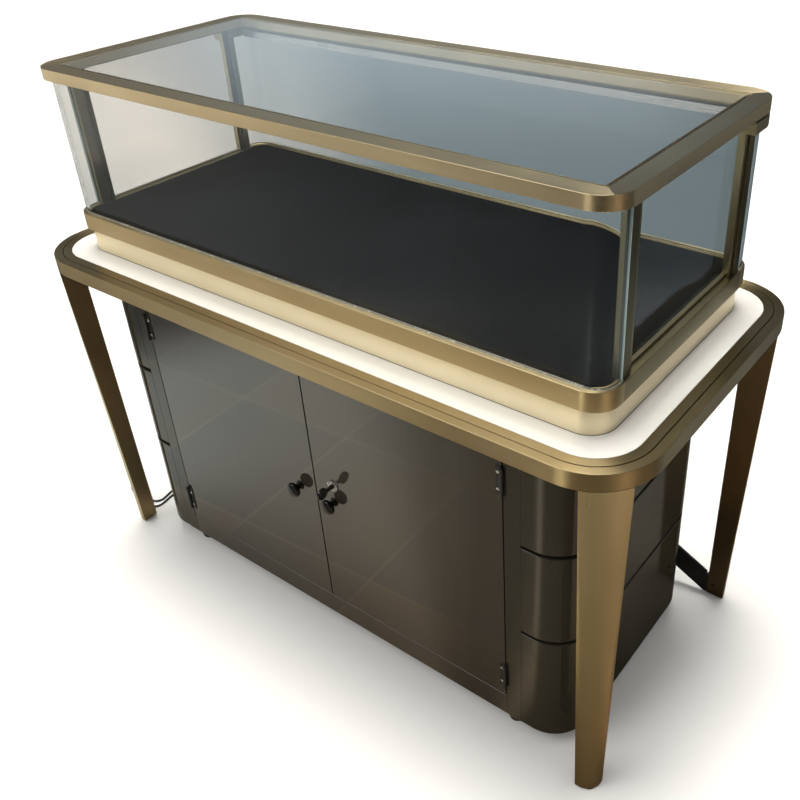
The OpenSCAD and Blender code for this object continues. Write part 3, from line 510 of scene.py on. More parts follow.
gold_upright = brushed("champagne_gold_upright", (0.6, 0.52, 0.325), 0.36, "UV", 0.6)
# A darker bronze copy of the leg gold for the legs' inner faces: painted shade.
inner_face_shade = brushed("bronze_inner_painted_shade", (0.33, 0.245, 0.14), 0.38, "UV", 0.6)
front_legs = leg_mesh("front_leg_pair", [(1, -1), (-1, -1)])
rear_legs = leg_mesh("rear_leg_pair", [(1, 1), (-1, 1)])
for legs, node in ((front_legs, "legs_front"), (rear_legs, "legs_rear")):
    dress(ease_edges(legs, LEG_EDGE, segments=3, angle=40), gold_upright, "showcase", "brass_leg", node)
    shade_inner_faces(legs)


# Cross brace
# Two flat black bars behind the cabinet, bolted where they cross and screwed to the legs through
# folded tabs.
def eased_copy(node, name, width, mat, body, slot_name):
    """A copy of a CAD solid with its edges eased: its loose triangles are merged and its flat faces
    joined before the edges are rounded."""
    me = nodes[node].data.copy()
    me.materials.clear()
    mended(me, merge=2e-6, flat=True)
    me.polygons.foreach_set("use_smooth", np.ones(len(me.polygons), bool))
    me.set_sharp_from_angle(angle=math.radians(30))
    return dress(ease_edges(placed(name, me), width), mat, body, slot_name, node)


black_paint = plastic("satin_black_paint", (0.012, 0.012, 0.013), 0.32, 0.25)
eased_copy("brace_low_right", "brace_arm_a", 0.6, black_paint, "showcase", "black_steel")
eased_copy("brace_low_left", "brace_arm_b", 0.6, black_paint, "showcase", "black_steel")
zinc = brushed("zinc_plate", (0.6, 0.6, 0.6), 0.35, "Z", 0.5)
finish_node(zinc, "shelf_pins", "strike_left", "strike_right")
fixings = eased_copy("brace_fixings", "brace_bolt_and_screws", 0.4, zinc, "showcase", "zinc")
LOW_HEAD_BELOW, LEG_SIDE, HEAD_FRONT = 30, 500, 229.5
x, y, z = read(fixings.data.polygons, "center").T / MM
part_dressed(fixings, black_paint, (z < LOW_HEAD_BELOW) & (abs(x) > LEG_SIDE) & (y < HEAD_FRONT))


# Cabinet front, doors and back
# High-gloss dark brown boards. The front frame is fixed to the cabinet, and the doors hang in it on
# hinges, flush and with fine open joints. The lacquer mirrors what stands round it.
brown_gloss = gloss_sheet("dark_brown_gloss", (0.026, 0.022, 0.017), 0.06, 0.03, 0.4)
# The stiles and the wing panels take a darker copy of the same dark brown gloss: painted shade.
wing_gloss_painted_shade = gloss_sheet("dark_brown_gloss_painted_shade", (0.021, 0.019, 0.0135), 0.07, 0.03)
for node, name, mat, body in (
    ("front_stiles", "stiles", wing_gloss_painted_shade, "showcase"), ("front_rails", "rails", brown_gloss, "showcase"),
    ("cabinet_back", "back_panel", brown_gloss, "showcase"),
    ("door_left", "left_door_leaf", brown_gloss, "door_left"),
    ("door_right", "right_door_leaf", brown_gloss, "door_right"),
):
    eased_copy(node, name, 0.8, mat, body, "dark_wood")


# Wing panels
# Each end of the cabinet is wrapped in three bent panels of the same gloss board with rounded lips,
# fixed to a black core that shows in the gaps. These panels and the stiles take a darker copy of the gloss as painted
# shade.
CABINET_HALF, CABINET_MID_Y, CABINET_R = (500, 213.5), -13.5, 65
WING_T, WING_LIP, STILE_OUT = 12, 2.5, 415
WING_TIERS = [(27, 235.25), (240.75, 408.25), (413.75, 609)]


def wing_path(inset):
    """Round the right end of the cabinet, from the front seam to the rear one."""
    x, y, r = CABINET_HALF[0] - inset, CABINET_HALF[1] - inset, CABINET_R - inset
    start = SHORT_STEPS + ARC_STEPS + SIDE_STEPS
    run = round_path(x, y, r)[start:start + 2 * ARC_STEPS + SHORT_STEPS]
    return np.vstack([[(STILE_OUT, -y)], run, [(x - r, y), (STILE_OUT, y)]]) + (0, CABINET_MID_Y)


def wing_panels(name, side):
    """Three bent panels one above the other, round the right end if side is 1 or the left if -1."""
    parts = []
    for k, (z0, z1) in enumerate(WING_TIERS):
        profile = fillet(strip(z0, z1, 0, WING_T), (WING_LIP, WING_LIP, 0.5, 0.5), 4)
        grid = np.stack([at_height(wing_path(d), z) for d, z in profile]) * (side, 1, 1)
        if side < 0:
            grid = grid[:, ::-1]
        parts.append(grid_mesh(f"{name}_{k}", grid, False, True, True, 40))
    return joined(name, parts)


dress(wing_panels("right_wing_panels", 1), wing_gloss_painted_shade, "showcase", "dark_wood", "wing_panels_right")
dress(wing_panels("left_wing_panels", -1), wing_gloss_painted_shade, "showcase", "dark_wood", "wing_panels_left")
finish_node(plastic("black_core", (0.006, 0.006, 0.006), 0.6, 0.2), "wing_cores", "deck_board")


# Hinges
# Small black butt hinges: one leaf stands in the gap, the other is a narrow plate on the door, with
# two bright countersunk screws. The barrel has five knuckles, and a pin with a button at each end.
HINGE_AXIS = (386, -230.6)
HINGE_Z, HINGE_H = (95, 492), 50
LEAF_MID, LEAF_FACE = 378.8, -228.5
for node, name, body in (
    ("hinge_leaves_fixed", "fixed_hinge_leaves", "showcase"), ("hinge_leaves_left", "left_hinge_leaves", "door_left"),
    ("hinge_leaves_right", "right_hinge_leaves", "door_right"),
):
    eased_copy(node, name, 0.25, black_paint, body, "black_steel")


def turned(name, profile, at, axis, steps):
    """A turned part: profile rows of (radius, height along the axis) carried round a circle in steps.
    axis is Z for upright, or -Y for one that stands out from the doors. Both ends close on the axis."""
    p = np.asarray(profile, float)
    a = np.linspace(0, 2 * math.pi, steps, endpoint=False)
    x, y = p[:, :1] * np.cos(a), p[:, :1] * np.sin(a)
    h = np.broadcast_to(p[:, 1:], x.shape)
    grid = np.stack([x, y, h] if axis == "Z" else [x, -h, y], -1) + at
    obj = grid_mesh(name, grid, True, False, smooth_angle=50)
    mended(obj.data, merge=1e-6, close=True, outward=True)
    return obj


pin_profile = [
    (0.3, -2.6), (1.6, -2.3), (2.3, -1.7), (2.5, -1), (2.2, -0.4), (1.5, -0.15), (1.5, 0), (1.5, HINGE_H),
    (1.5, HINGE_H + 0.15), (2.2, HINGE_H + 0.4), (2.5, HINGE_H + 1), (2.3, HINGE_H + 1.7),
    (1.6, HINGE_H + 2.3), (0.3, HINGE_H + 2.6),
]
pins = [
    turned(f"pin_{side}_{z}", pin_profile, (side * HINGE_AXIS[0], HINGE_AXIS[1], z), "Z", 24)
    for side in (-1, 1) for z in HINGE_Z
]
dress(joined("hinge_pins_and_buttons", pins), black_paint, "showcase", "black_steel", "hinge_pins")
screw_steel = plastic("bright_screw_steel", (0.62, 0.61, 0.59), 0.22, metal=1)
screw_profile = [(2.75, 0), (2.75, 0.75), (2.45, 1), (1.6, 1.25), (0.7, 1.35), (0.5, 0.8), (0.2, 0.75)]
for side, body in ((-1, "door_left"), (1, "door_right")):
    screws = [
        turned(f"hinge_screw_{side}_{z}_{k}", screw_profile, (side * LEAF_MID, LEAF_FACE, z + k), "-Y", 20)
        for z in HINGE_Z for k in (HINGE_H / 5, HINGE_H * 4 / 5)
    ]
    dress(joined(f"hinge_screws_{body}", screws), screw_steel, body, "zinc")


# Knobs
# Turned mushroom knobs in polished black chrome, each on a flange that sits on its door. A zinc
# screw holds it from behind.
KNOB_AT = (40, -227, 312)
black_chrome = plastic("black_chrome", (0.035, 0.034, 0.036), 0.07, specular=0.9, metal=1)
knob_ring = [
    (8.5, 0), (8.5, 1.1), (8.2, 1.6), (7.6, 2), (6.3, 2.6), (5.7, 4), (5.6, 5.6), (5.8, 7.8), (6.6, 9.6),
    (8.4, 11), (10.8, 11.7), (12.6, 12.5), (13.5, 13.8), (13.8, 15.3), (13.5, 17), (12.4, 18.8),
    (10, 20.4), (6.8, 21.6), (3.4, 22.3), (0.2, 22.5),
]
screw_ring = [(0.2, -20.2), (3, -20.1), (3.8, -19.4), (4, -18.1), (2, -18), (2, 0)]
for side, body in ((-1, "door_left"), (1, "door_right")):
    smooth = through(at_height(knob_ring, 0), 3)[:, :2]
    smooth[:, 0] = np.maximum(smooth[:, 0], 0.15)
    at = (side * KNOB_AT[0], KNOB_AT[1], KNOB_AT[2])
    head = turned(f"knob_head_{side}", smooth, at, "-Y", 64)
    screw = turned(f"knob_screw_{side}", screw_ring, at, "-Y", 24)
    head.data.materials.append(black_chrome)
    screw.data.materials.append(zinc)
    knob = joined(f"mushroom_{body}", [head, screw])
    flat = knob.modifiers.new("flat_faces", "WEIGHTED_NORMAL")
    flat.keep_sharp = True
    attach(knob, body)
    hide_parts("knob_left" if side < 0 else "knob_right")


# Lock and key
# A chrome cam lock with a knurled ring, held in the right door by a nut, and its key with a round
# black bow.
LOCK_AT = (43, 349)
KNURLS = 26
bright_chrome = plastic("bright_chrome", (0.72, 0.72, 0.74), 0.07, metal=1)


def knurled():
    """Chrome with fine radial ridges round the lock's middle: the sine of the angle times their number."""
    mat = bright_chrome.copy()
    mat.name = "knurled_chrome"
    tree = mat.node_tree
    middle, upright = (-LOCK_AT[0] * MM, LOCK_AT[1] * MM, 0), (math.pi / 2, 0, 0)
    centre = add(tree, "Mapping", {"Vector": object_place(tree), "Location": middle, "Rotation": upright})
    angle = add(tree, "TexGradient", {0: centre.outputs[0]}, gradient_type="RADIAL")
    many = add(tree, "Math", {0: angle.outputs["Fac"], 1: 2 * math.pi * KNURLS}, operation="MULTIPLY")
    wave = add(tree, "Math", {0: many.outputs[0]}, operation="SINE")
    return bumped(mat, wave.outputs[0], 1, 0.0007)


eased_copy("lock_barrel", "lock_bezel_and_nut", 0.7, knurled(), "door_right", "lock_chrome")
eased_copy("lock_plug", "lock_plug_and_cam", 0.3, bright_chrome, "lock", "lock_chrome")
key_black = plastic("key_grip", (0.006, 0.006, 0.007), 0.2, specular=0.3)
shade(key_black, {"Coat Weight": 0.25})
eased_copy("lock_key", "key_bow", 0.7, key_black, "lock", "black_plastic")


# Plinth and band of the display case
# The plinth is faced with champagne sheet. A taller band stands a little proud of it and holds the
# glass; its four lengths meet in fine joints beside the corner posts. A thin black strip round the
# plinth's foot is painted shadow where it meets the counter.
PLINTH_HALF, PLINTH_R, PLINTH_Z, PLINTH_W = (527.5, 217), 40, (636, 676), 18
FOOT_SHADOW_W, FOOT_SHADOW_GAP = 0.6, 0.02
BAND_HALF, BAND_R, BAND_Z, BAND_W = (534.5, 223.5), 39, (676, 706), 14
GLASS_END, BAND_JOINT = 176, 0.4
BAR_STEPS = 8


def bar(name, section, run, axis):
    """A straight bar: its section, an outline of (x, across) points, carried along Y or Z through the
    places in run. The outline runs anticlockwise, seen with x to the right."""
    x, across = np.asarray(section).T[:, :, None]
    x, across, along = np.broadcast_arrays(x, across, run)
    grid = np.stack([x, along, across], -1)[::-1] if axis == "Y" else np.stack([x, across, along], -1)
    return grid_mesh(name, grid, False, True, True)


plinth_profile = fillet(strip(*PLINTH_Z, 0, PLINTH_W), 0.6)
# The plinth takes a lighter copy of the champagne gold: painted light and reflection.
plinth_gold_painted_light = brushed("champagne_plinth_painted_light", (0.95, 0.83, 0.6), 0.34, "UV")
dress(banded("plinth_facing", PLINTH_HALF, PLINTH_R, plinth_profile), plinth_gold_painted_light, "showcase", "brass", "case_plinth")
# A thin black strip round the plinth's foot: painted shadow.
foot_profile = fillet([
    (-FOOT_SHADOW_W, PLINTH_Z[0]), (-FOOT_SHADOW_GAP, PLINTH_Z[0] + FOOT_SHADOW_W), (-FOOT_SHADOW_GAP, PLINTH_Z[0]),
], 0.12, 2)
dress(banded("plinth_foot_painted_shadow", PLINTH_HALF, PLINTH_R, foot_profile), cord_rubber, "showcase", "black_rubber")
band_profile = fillet(strip(*BAND_Z, 0, BAND_W), (EDGE_R, EDGE_R, 0.5, 0.5))
bands = [
    banded("band_front", BAND_HALF, BAND_R, band_profile, "front", -GLASS_END),
    banded("band_back", BAND_HALF, BAND_R, band_profile, "back", GLASS_END),
]
dress(joined("band_front_and_back", bands), gold_along, "showcase", "brass", "band_front_rear")
ends = []
for k, (x0, x1) in enumerate([(BAND_HALF[0] - BAND_W, BAND_HALF[0]), (-BAND_HALF[0], BAND_W - BAND_HALF[0])]):
    section = fillet([(x0, BAND_Z[0]), (x1, BAND_Z[0]), (x1, BAND_Z[1]), (x0, BAND_Z[1])], EDGE_R)
    run = np.linspace(BAND_JOINT - GLASS_END, GLASS_END - BAND_JOINT, BAR_STEPS + 1)
    ends.append(bar(f"band_end_{k}", section, run, "Y"))
# A darker copy of the champagne gold for the band's end lengths, the end panes' foot beads and the rear rail: painted
# shade on the case's ends and back.
ends_gold_painted_shade = brushed("champagne_along_painted_shade", (0.33, 0.28, 0.165), 0.34, "UV")
dress(joined("band_end_strips", ends), ends_gold_painted_shade, "showcase", "brass", "band_ends")


# Display deck
# A board wrapped in black velvet, laid inside the band: the pile lies over in soft patches, and the
# cloth turns over the edge with a small round.
DECK_HALF, DECK_R, DECK_Z = (519.5, 208.5), 24, (696, 704)
DECK_EDGE = 2.5
RINGS_BELOW, RINGS_ABOVE = (205, 100), (30, 70, 120, 170, 205)


def ramp(tree, share, stops, interpolation="LINEAR"):
    """A colour for each share from 0 to 1, from stops of (share, colour)."""
    made = add(tree, "ValToRGB", {0: share})
    made.color_ramp.interpolation = interpolation
    for k, (where, tone) in enumerate(stops):
        element = made.color_ramp.elements[k] if k < 2 else made.color_ramp.elements.new(where)
        element.position = where
        element.color = (*tone, 1)
    return made.outputs["Color"]


def velvet(name, colour):
    """Velvet: near-black pile with a grey sheen, cloudy where it has been brushed one way or the
    other, and a fine random nap as bump."""
    mat = new_material(name, {
        "Roughness": 0.95, "Specular IOR Level": 0, "Sheen Weight": 0.012, "Sheen Roughness": 0.45,
        "Sheen Tint": (0.62, 0.66, 0.72, 1),
    })
    tree = mat.node_tree
    place = object_place(tree)
    patch = add(tree, "TexNoise", {"Vector": place, "Scale": 5, "Detail": 6, "Distortion": 0.8})
    stops = [(at, tuple(c * k for c in colour)) for at, k in ((0.35, 0.65), (0.7, 1.5))]
    shade(mat, {"Base Color": ramp(tree, patch.outputs["Fac"], stops)})
    nap = add(tree, "TexNoise", {"Vector": place, "Scale": 2600, "Detail": 3})
    return bumped(mat, nap.outputs["Fac"], 0.3, 0.0003)


def deck_mesh(name):
    """The deck's skin: a rounded rim profile carried round its outline, closed above and below by
    loops drawn in towards the middle line."""
    z0, z1 = DECK_Z
    rim = fillet(strip(z0, z1, 0, 60), (0.5, DECK_EDGE, 0.01, 0.01), 5)
    profile = [*((d, z0) for d in RINGS_BELOW), *rim[:len(rim) // 2], *((d, z1) for d in RINGS_ABOVE)]
    x, y = DECK_HALF
    loops = [at_height(round_path(x - d, y - d, max(DECK_R - d, 1)), z) for d, z in profile]
    obj = grid_mesh(name, np.stack(loops), True, False)
    mended(obj.data, close=True)
    return obj


dress(deck_mesh("velvet_deck"), velvet("black_velvet", (0.0036, 0.004, 0.005)), "showcase", "velvet", "display_deck")


# Glass
# Clear 6 mm glass, standing on the band: the front and the back are bent round the corners, the ends
# are flat panes. The ground edges carry the pale blue-green of thick glass.
GLASS_HALF, GLASS_R, GLASS_T, GLASS_Z, RAIL_Z = (530, 215), 38, 6, (706, 935), 918
GLASS_IOR = 1.3
BEND_STEPS = 24
GROUND_END = 2


def swap_shader(mat, share, shader):
    """Another shader takes the main one's place where share is 1."""
    tree = mat.node_tree
    either = add(tree, "MixShader", {0: share, 1: tree.nodes["Principled BSDF"].outputs[0], 2: shader.outputs[0]})
    feed(tree, tree.nodes["Material Output"], {0: either.outputs[0]})


def glass(name, tint):
    """Clear glass that lets lamps through: the refracting shader everywhere but for shadow rays,
    which pass with a faint tint."""
    mat = new_material(name, {
        "Base Color": (*tint, 1), "Transmission Weight": 1, "Roughness": 0, "IOR": GLASS_IOR,
        "Specular Tint": (0.75, 0.8, 0.84, 1),
    })
    tree = mat.node_tree
    clear = add(tree, "BsdfTransparent", {"Color": (0.9, 0.93, 0.92, 1)})
    swap_shader(mat, add(tree, "LightPath", {}).outputs["Is Shadow Ray"], clear)
    return mat


pane_glass = glass("clear_glass", (0.97, 0.99, 0.985))
edge_glass = plastic("ground_glass_edge", (0.36, 0.46, 0.44), 0.3, 0.2)


def bent_path(kind, inset):
    """The line of the bent glass, inset from its outside. At each corner the heading turns a quarter,
    as a smooth step of the length, so that the bend starts and ends gently: run and rise are the
    summed cosine and sine of the turn. The back is the front turned half round."""
    t = np.linspace(0, 1, BEND_STEPS + 1)
    turn = np.pi / 2 * t**2 * (3 - 2 * t)
    run, rise = (np.concatenate([[0], np.cumsum(f(turn)[1:] + f(turn)[:-1])]) for f in (np.cos, np.sin))
    run, rise = run[:, None] / run[-1], rise[:, None] / rise[-1]
    x, y, r = *GLASS_HALF, GLASS_R
    side = np.linspace(0, 1, SHORT_STEPS + 1)[:, None]
    front = np.linspace(0, 1, SIDE_STEPS + 1)[1:-1, None]
    down, right, up = (np.array(v) for v in ((0, -1), (1, 0), (0, 1)))
    pieces = [
        ((-x, -GLASS_END) + side[:-1] * (0, GLASS_END + r - y), np.full(SHORT_STEPS, -np.pi / 2)),
        ((-x, r - y) + r * (run * down + rise * right), turn - np.pi / 2),
        ((r - x, -y) + front * (2 * (x - r), 0), np.zeros(SIDE_STEPS - 1)),
        ((x - r, -y) + r * (run * right + rise * up), turn),
        ((x, r - y) + side[1:] * (0, y - r - GLASS_END), np.full(SHORT_STEPS, np.pi / 2)),
    ]
    line = np.vstack([place for place, _ in pieces])
    heading = np.concatenate([angle for _, angle in pieces])
    line = line + inset * np.column_stack([-np.sin(heading), np.cos(heading)])
    return line if kind == "front" else -line


def along_bend(name, kind, profile):
    """A profile of (inset, z) points carried along the bent glass."""
    return grid_mesh(name, np.stack([at_height(bent_path(kind, d), z) for d, z in profile]), False, True, True)


def bent_pane(name, kind, top, stands_for):
    """Bent glass: a thin upright profile with fine arrises, carried round one side of the case."""
    pane = along_bend(name, kind, fillet(strip(GLASS_Z[0], top, 0, GLASS_T), 0.5, 2))
    dress(pane, pane_glass, "showcase", "glass", stands_for)
    part_dressed(pane, edge_glass, abs(read(pane.data.polygons, "center")[:, 1]) < (GLASS_END + GROUND_END) * MM)


bent_pane("front_bent_glass", "front", GLASS_Z[1], "front_glass")
bent_pane("rear_bent_glass", "back", RAIL_Z, "back_glass")
finish_node(pane_glass, "end_panes")


# Posts, beads and seal
# Square champagne posts beside the bent glass, narrower beads that hold the end panes, a folded angle
# along each pane's foot, and black rubber seals along the top edges and up the ends of the glass.
# The posts and beads take darker copies of the champagne gold: painted shade, darkest on the posts.
post_gold_painted_shade = brushed("champagne_posts_painted_shade", (0.19, 0.175, 0.105), 0.33, "Z")
bead_gold_painted_shade = brushed("champagne_beads_painted_shade", (0.34, 0.3, 0.19), 0.33, "Z")
eased_copy("corner_posts", "case_posts", 0.8, post_gold_painted_shade, "showcase", "brass")
eased_copy("pane_beads", "end_pane_beads", 0.6, bead_gold_painted_shade, "showcase", "brass")
finish_node(cord_rubber, "lid_gasket", "led_lead")

PANE_OUT, GAP, BAND_GAP = 516, 0.05, 0.03
FOOT_BEAD_Y, FOOT_BEAD_OUT, FOOT_BEAD_TOP = 147.8, 522.5, BAND_Z[1] + 4
at_pane, at_band = PANE_OUT + GAP, BAND_HALF[0] - BAND_W - GAP
on_deck, on_band = DECK_Z[1] + GAP, BAND_Z[1] + BAND_GAP
foot_angle = fillet([
    (at_pane, on_deck), (at_band, on_deck), (at_band, on_band), (FOOT_BEAD_OUT, on_band),
    (FOOT_BEAD_OUT, FOOT_BEAD_TOP), (at_pane, FOOT_BEAD_TOP),
], (0.2, 0.2, 0.2, 0.3, 0.9, 0.4))
foot_run = np.linspace(-FOOT_BEAD_Y, FOOT_BEAD_Y, BAR_STEPS + 1)
foot_beads = [bar(f"foot_bead_{side}", foot_angle[::side] * (side, 1), foot_run, "Y") for side in (-1, 1)]
# The foot beads take the darker gold copy: painted shade.
dress(joined("end_pane_foot_beads", foot_beads), ends_gold_painted_shade, "showcase", "brass")

SEAL_X, SEAL_Y, SEAL_STEPS = (521, 529.8), (175.05, 175.95), 4
seals = []
for sx in (-1, 1):
    for sy in (-1, 1):
        x0, x1 = sorted((sx * SEAL_X[0], sx * SEAL_X[1]))
        y0, y1 = sorted((sy * SEAL_Y[0], sy * SEAL_Y[1]))
        section = fillet([(x0, y0), (x1, y0), (x1, y1), (x0, y1)], 0.3)
        heights = np.linspace(GLASS_Z[0], GLASS_Z[1] if sy < 0 else RAIL_Z, SEAL_STEPS + 1)
        seals.append(bar(f"seal_{sx}_{sy}", section, heights, "Z"))
dress(joined("glass_end_seals", seals), cord_rubber, "showcase", "black_rubber")


# Sealant
# A thin run of clear silicone that holds the bent glass where it stands on the band, with small pale
# bubbles in it.
BEAD_OUT, BEAD_UP = 1.2, 1.6


def silicone(name):
    """Clear silicone gone milky: pale spots where cells of a fine pattern are small, in a clear gel."""
    mat = plastic(name, (0.5, 0.5, 0.47), 0.25)
    tree = mat.node_tree
    cells = add(tree, "TexVoronoi", {"Vector": object_place(tree), "Scale": 160})
    spots = ramp(tree, cells.outputs["Distance"], [(0.15, (0.8, 0.8, 0.76)), (0.4, (0.3, 0.3, 0.27))])
    shade(mat, {"Transmission Weight": 0.35, "Base Color": spots})
    return mat


bead_profile = fillet([(-BEAD_OUT, GLASS_Z[0]), (-GAP, GLASS_Z[0] + BEAD_UP), (-GAP, GLASS_Z[0])], 0.25, 2)
beads = [along_bend(f"silicone_{kind}", kind, bead_profile) for kind in ("front", "back")]
dress(joined("silicone_run", beads), silicone("milky_silicone"), "showcase", "glass")


# Rear rail and light
# The fixed rail along the back glass wraps the rear corners. Under it, out of sight from outside,
# is an aluminium channel with an LED strip behind a frosted cover.
LID_HALF, LID_R, LID_Z = (540, 229), 45, (938, 957.5)
RAIL_W, RAIL_END, INNER_R = 24, 148, 4
rail_profile = fillet(strip(RAIL_Z, GLASS_Z[1], 0, RAIL_W), EDGE_R)


def rail_corner(inset):
    """The rail's outside follows the lid's round corner and its inside is nearly square."""
    return LID_R + (INNER_R - LID_R) * inset / RAIL_W


rail = banded("fixed_rear_rail", LID_HALF, LID_R, rail_profile, "back", RAIL_END, rail_corner)
# The rear rail takes the darker gold copy: painted shade.
dress(rail, ends_gold_painted_shade, "showcase", "brass", "rear_rail")
finish_node(brushed("satin_aluminium", (0.72, 0.72, 0.73), 0.3, "X", 0.6), "led_profile")
finish_node(plastic("white_plastic", (0.75, 0.75, 0.73), 0.4, 0.2), "led_driver")


# Lid
# A champagne frame with a flush glass, hinged along the back. The frame's outside is rounded like
# the band below, and its opening is square.
LID_FRAME_W, LID_LEDGE = 29, 8
ledge_top, ledge_in = LID_Z[1] - GLASS_T, LID_FRAME_W + LID_LEDGE
lid_profile = fillet([
    (0, LID_Z[0]), (0, LID_Z[1]), (LID_FRAME_W, LID_Z[1]), (LID_FRAME_W, ledge_top), (ledge_in, ledge_top),
    (ledge_in, LID_Z[0]),
], (EDGE_R, EDGE_R, 0.4, 0.2, 0.4, 0.6))


def lid_corner(inset):
    """Round outside, square inside."""
    return max(LID_R + (INNER_R - LID_R) * inset / LID_FRAME_W, 2.0)


def mitred_grain(obj):
    """The grain on top runs along each rail up to the mitre, a line from the opening's corner out to
    the round corner: x is along the front and back rails, y along the side ones."""
    faces, layer = obj.data.polygons, obj.data.uv_layers["grain"]
    place = read(obj.data.vertices, "co")[read(obj.data.loops, "vertex_index", 1)]
    sizes = read(faces, "loop_total", 1)
    middle, normal = (np.repeat(read(faces, field), sizes, 0) for field in ("center", "normal"))
    uv = read(layer.uv, "vector", 2)
    side_rail = abs(middle[:, 0]) - abs(middle[:, 1]) > (LID_HALF[0] - LID_HALF[1]) * MM
    top = normal[:, 2] > 0.9
    uv[top] = np.where(side_rail[:, None], place[:, [1, 0]], place[:, [0, 1]])[top]
    layer.uv.foreach_set("vector", uv.astype(np.float32).ravel())
    return obj


lid = mitred_grain(banded("lid_rails", LID_HALF, LID_R, lid_profile, corner=lid_corner))
lid_gold = brushed("champagne_gold_lid", (0.6, 0.5, 0.325), 0.35, "UV")
dress(lid, lid_gold, "lid", "lid_metal", "lid_frame")
eased_copy("lid_glass", "lid_pane", 0.4, pane_glass, "lid", "glass")
finish_node(black_paint, "lid_hinge_lower", "lid_hinge_upper")


# Studio
# A pale floor, one round lamp overhead, a soft fill that only lights, and a plain surround in soft
# light and dark panels. Mirrored in the case, or seen through its glass, the floor shows as the
# darker floor that the case stood on. Lengths are in metres here, and directions in degrees from +X.
SURROUND = [
    (181, (0.48, 0.48, 0.45)), (180, (0.48, 0.48, 0.45)), (200, (0.72, 0.7, 0.65)), (216, (0.85, 0.81, 0.72)),
    (230, (0.36, 0.33, 0.27)), (242, (0.06, 0.055, 0.04)), (251, (0.4, 0.36, 0.29)), (262, (1.2, 1.13, 0.98)),
    (275, (0.28, 0.26, 0.2)), (289, (0.04, 0.04, 0.03)), (305, (0.04, 0.04, 0.03)), (325, (0.25, 0.23, 0.18)),
    (345, (0.55, 0.42, 0.33)), (4, (0.15, 0.13, 0.1)), (25, (0.07, 0.065, 0.055)), (50, (0.26, 0.28, 0.3)),
    (78, (0.11, 0.11, 0.1)), (108, (0.12, 0.125, 0.125)), (118, (0.52, 0.62, 0.69)), (137, (0.54, 0.65, 0.72)),
    (150, (0.3, 0.29, 0.27)),
]
CEILING, CEILING_EDGE = (0.085, 0.09, 0.088), (0.2, 0.42)
BACKDROP = (0.93, 0.93, 0.92)
LAMP, LAMP_TO, LAMP_EDGE = (20, 19.4, 18.2), (-0.1, 0.11, 0.989), (0.962, 0.986)
SUNS = [("soft_sun", 0.9, 35, 48, -38), ("fill", 1.5, 160, 15, 30)]
BEHIND_GLASS = [
    (90, (0.095, 0.12, 0.135)), (135, (0.105, 0.13, 0.145)), (147, (0.26, 0.26, 0.26)), (154, (0.42, 0.39, 0.37)),
    (168, (0.32, 0.315, 0.31)), (181, (0.32, 0.315, 0.31)), (270, (0.36, 0.36, 0.35)), (0, (0.2, 0.22, 0.23)),
]
FLOOR_HALF, FLOOR_CENTRE, FLOOR_REACH = 9, (0.4, -0.1), 5
FLOOR_RINGS = [
    (0.2, (0.55, 0.47, 0.38)), (1.4, (0.8, 0.86, 0.9)), (1.8, (0.13, 0.135, 0.14)), (3.1, (0.13, 0.135, 0.14)),
    (3.6, (1, 1, 1)),
]
FLOOR_NEAR = [(0.2, (0.138, 0.11, 0.075)), (1.4, (0.17, 0.148, 0.115)), (1.8, (0, 0, 0))]
NEAR_SIDES = [
    (181, (1, 1, 1)), (180, (1, 1, 1)), (15, (1, 1, 1)), (42, (0.45, 0.5, 0.55)), (120, (0.45, 0.5, 0.55)),
]
TILE, TILE_JOINT, TILE_TURN = 0.34, 0.0022, 0.06
TILE_TONES = {"Color1": (1.1, 1.02, 0.94, 1), "Color2": (0.86, 0.9, 0.93, 1), "Mortar": (1.22, 1.2, 1.15, 1)}


def direction(tree, place):
    """The direction of a place, seen from above, as an angle in radians from -pi to pi."""
    parts = add(tree, "SeparateXYZ", {0: place}).outputs
    return add(tree, "Math", {0: parts["Y"], 1: parts["X"]}, operation="ARCTAN2").outputs[0]


def compass(tree, turn, panels):
    """A colour for the direction turn, eased from panel to panel."""
    share = add(tree, "MapRange", {"Value": turn, "From Min": -math.pi, "From Max": math.pi})
    stops = [((degrees + (180 if degrees <= 180 else -180)) / 360, tone) for degrees, tone in panels]
    return ramp(tree, share.outputs[0], stops, "EASE")


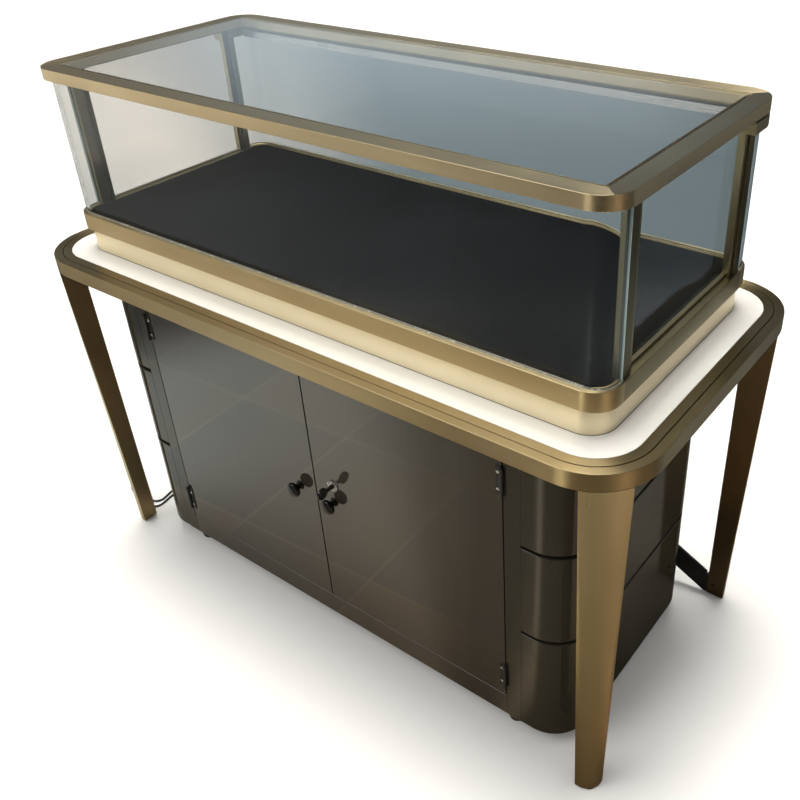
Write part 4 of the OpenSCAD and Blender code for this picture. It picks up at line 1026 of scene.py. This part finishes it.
def darker_floor(mat):
    """The floor as reflections and glass show it. Mirrored, it takes the surround's tone in each
    direction, lighter close to the case and far away and darker between, laid in square tiles. Through
    glass it is the blue-grey of the ground behind."""
    tree = mat.node_tree
    place = object_place(tree)
    centre = add(tree, "Mapping", {0: place, "Location": (-FLOOR_CENTRE[0], -FLOOR_CENTRE[1], 0)}).outputs[0]
    turn = direction(tree, centre)
    away = add(tree, "VectorMath", {0: centre}, operation="LENGTH").outputs["Value"]
    share = add(tree, "Math", {0: away, 1: FLOOR_REACH}, operation="DIVIDE").outputs[0]
    far, near = (
        ramp(tree, share, [(distance / FLOOR_REACH, tone) for distance, tone in rings], "EASE")
        for rings in (FLOOR_RINGS, FLOOR_NEAR)
    )
    far = mixed(tree, 1, compass(tree, turn, SURROUND), far, "MULTIPLY")
    near = mixed(tree, 1, near, compass(tree, turn, NEAR_SIDES), "MULTIPLY")
    laid = add(tree, "Mapping", {0: place, "Rotation": (0, 0, TILE_TURN)}).outputs[0]
    tiles = add(tree, "TexBrick", {
        0: laid, **TILE_TONES, "Scale": 1, "Mortar Size": TILE_JOINT, "Brick Width": TILE, "Row Height": TILE,
    }, offset=0)
    mirrored = mixed(tree, 1, mixed(tree, 1, far, near, "LIGHTEN"), tiles.outputs["Color"], "MULTIPLY")
    ray = add(tree, "LightPath", {}).outputs
    tone = mixed(tree, ray["Is Transmission Ray"], mirrored, compass(tree, turn, BEHIND_GLASS))
    indirect = add(tree, "Math", {0: ray["Is Glossy Ray"], 1: ray["Is Transmission Ray"]}, operation="MAXIMUM")
    swap_shader(mat, indirect.outputs[0], add(tree, "BsdfDiffuse", {"Color": tone}))


def studio():
    scene = bpy.context.scene
    scene.view_settings.view_transform = "Standard"
    scene.world = bpy.data.worlds.new("studio")
    scene.world.use_nodes = True
    tree = scene.world.node_tree
    sight = add(tree, "TexCoord", {}).outputs["Generated"]
    height = add(tree, "SeparateXYZ", {0: sight}).outputs["Z"]
    to_lamp = add(tree, "VectorMath", {0: sight, 1: LAMP_TO}, operation="DOT_PRODUCT").outputs["Value"]
    above, lit = (
        add(tree, "MapRange", {"Value": value, "From Min": low, "From Max": high}, interpolation_type="SMOOTHSTEP")
        for value, (low, high) in ((height, CEILING_EDGE), (to_lamp, LAMP_EDGE))
    )
    wall = mixed(tree, above.outputs["Result"], compass(tree, direction(tree, sight), SURROUND), CEILING)
    room = mixed(tree, lit.outputs["Result"], wall, LAMP)
    camera_ray = add(tree, "LightPath", {}).outputs["Is Camera Ray"]
    feed(tree, tree.nodes["Background"], {"Color": mixed(tree, camera_ray, room, BACKDROP)})
    for name, energy, angle, tilt, turned_by in SUNS:
        sun = placed(name, bpy.data.lights.new(name, "SUN"))
        sun.data.energy = energy
        sun.data.angle = math.radians(angle)
        sun.data.color = (1.0, 0.98, 0.95)
        sun.rotation_euler = (math.radians(tilt), 0, math.radians(turned_by))
        sun.visible_glossy = name != "fill"
    me = bpy.data.meshes.new("floor")
    corners = [(x * FLOOR_HALF, y * FLOOR_HALF, 0) for x, y in ((-1, -1), (1, -1), (1, 1), (-1, 1))]
    me.from_pydata(corners, [], [range(4)])
    floor = placed("floor", me)
    pale = plastic("pale_floor", (0.82, 0.82, 0.81), 0.6, specular=0.2)
    me.materials.append(pale)
    darker_floor(pale)


studio()
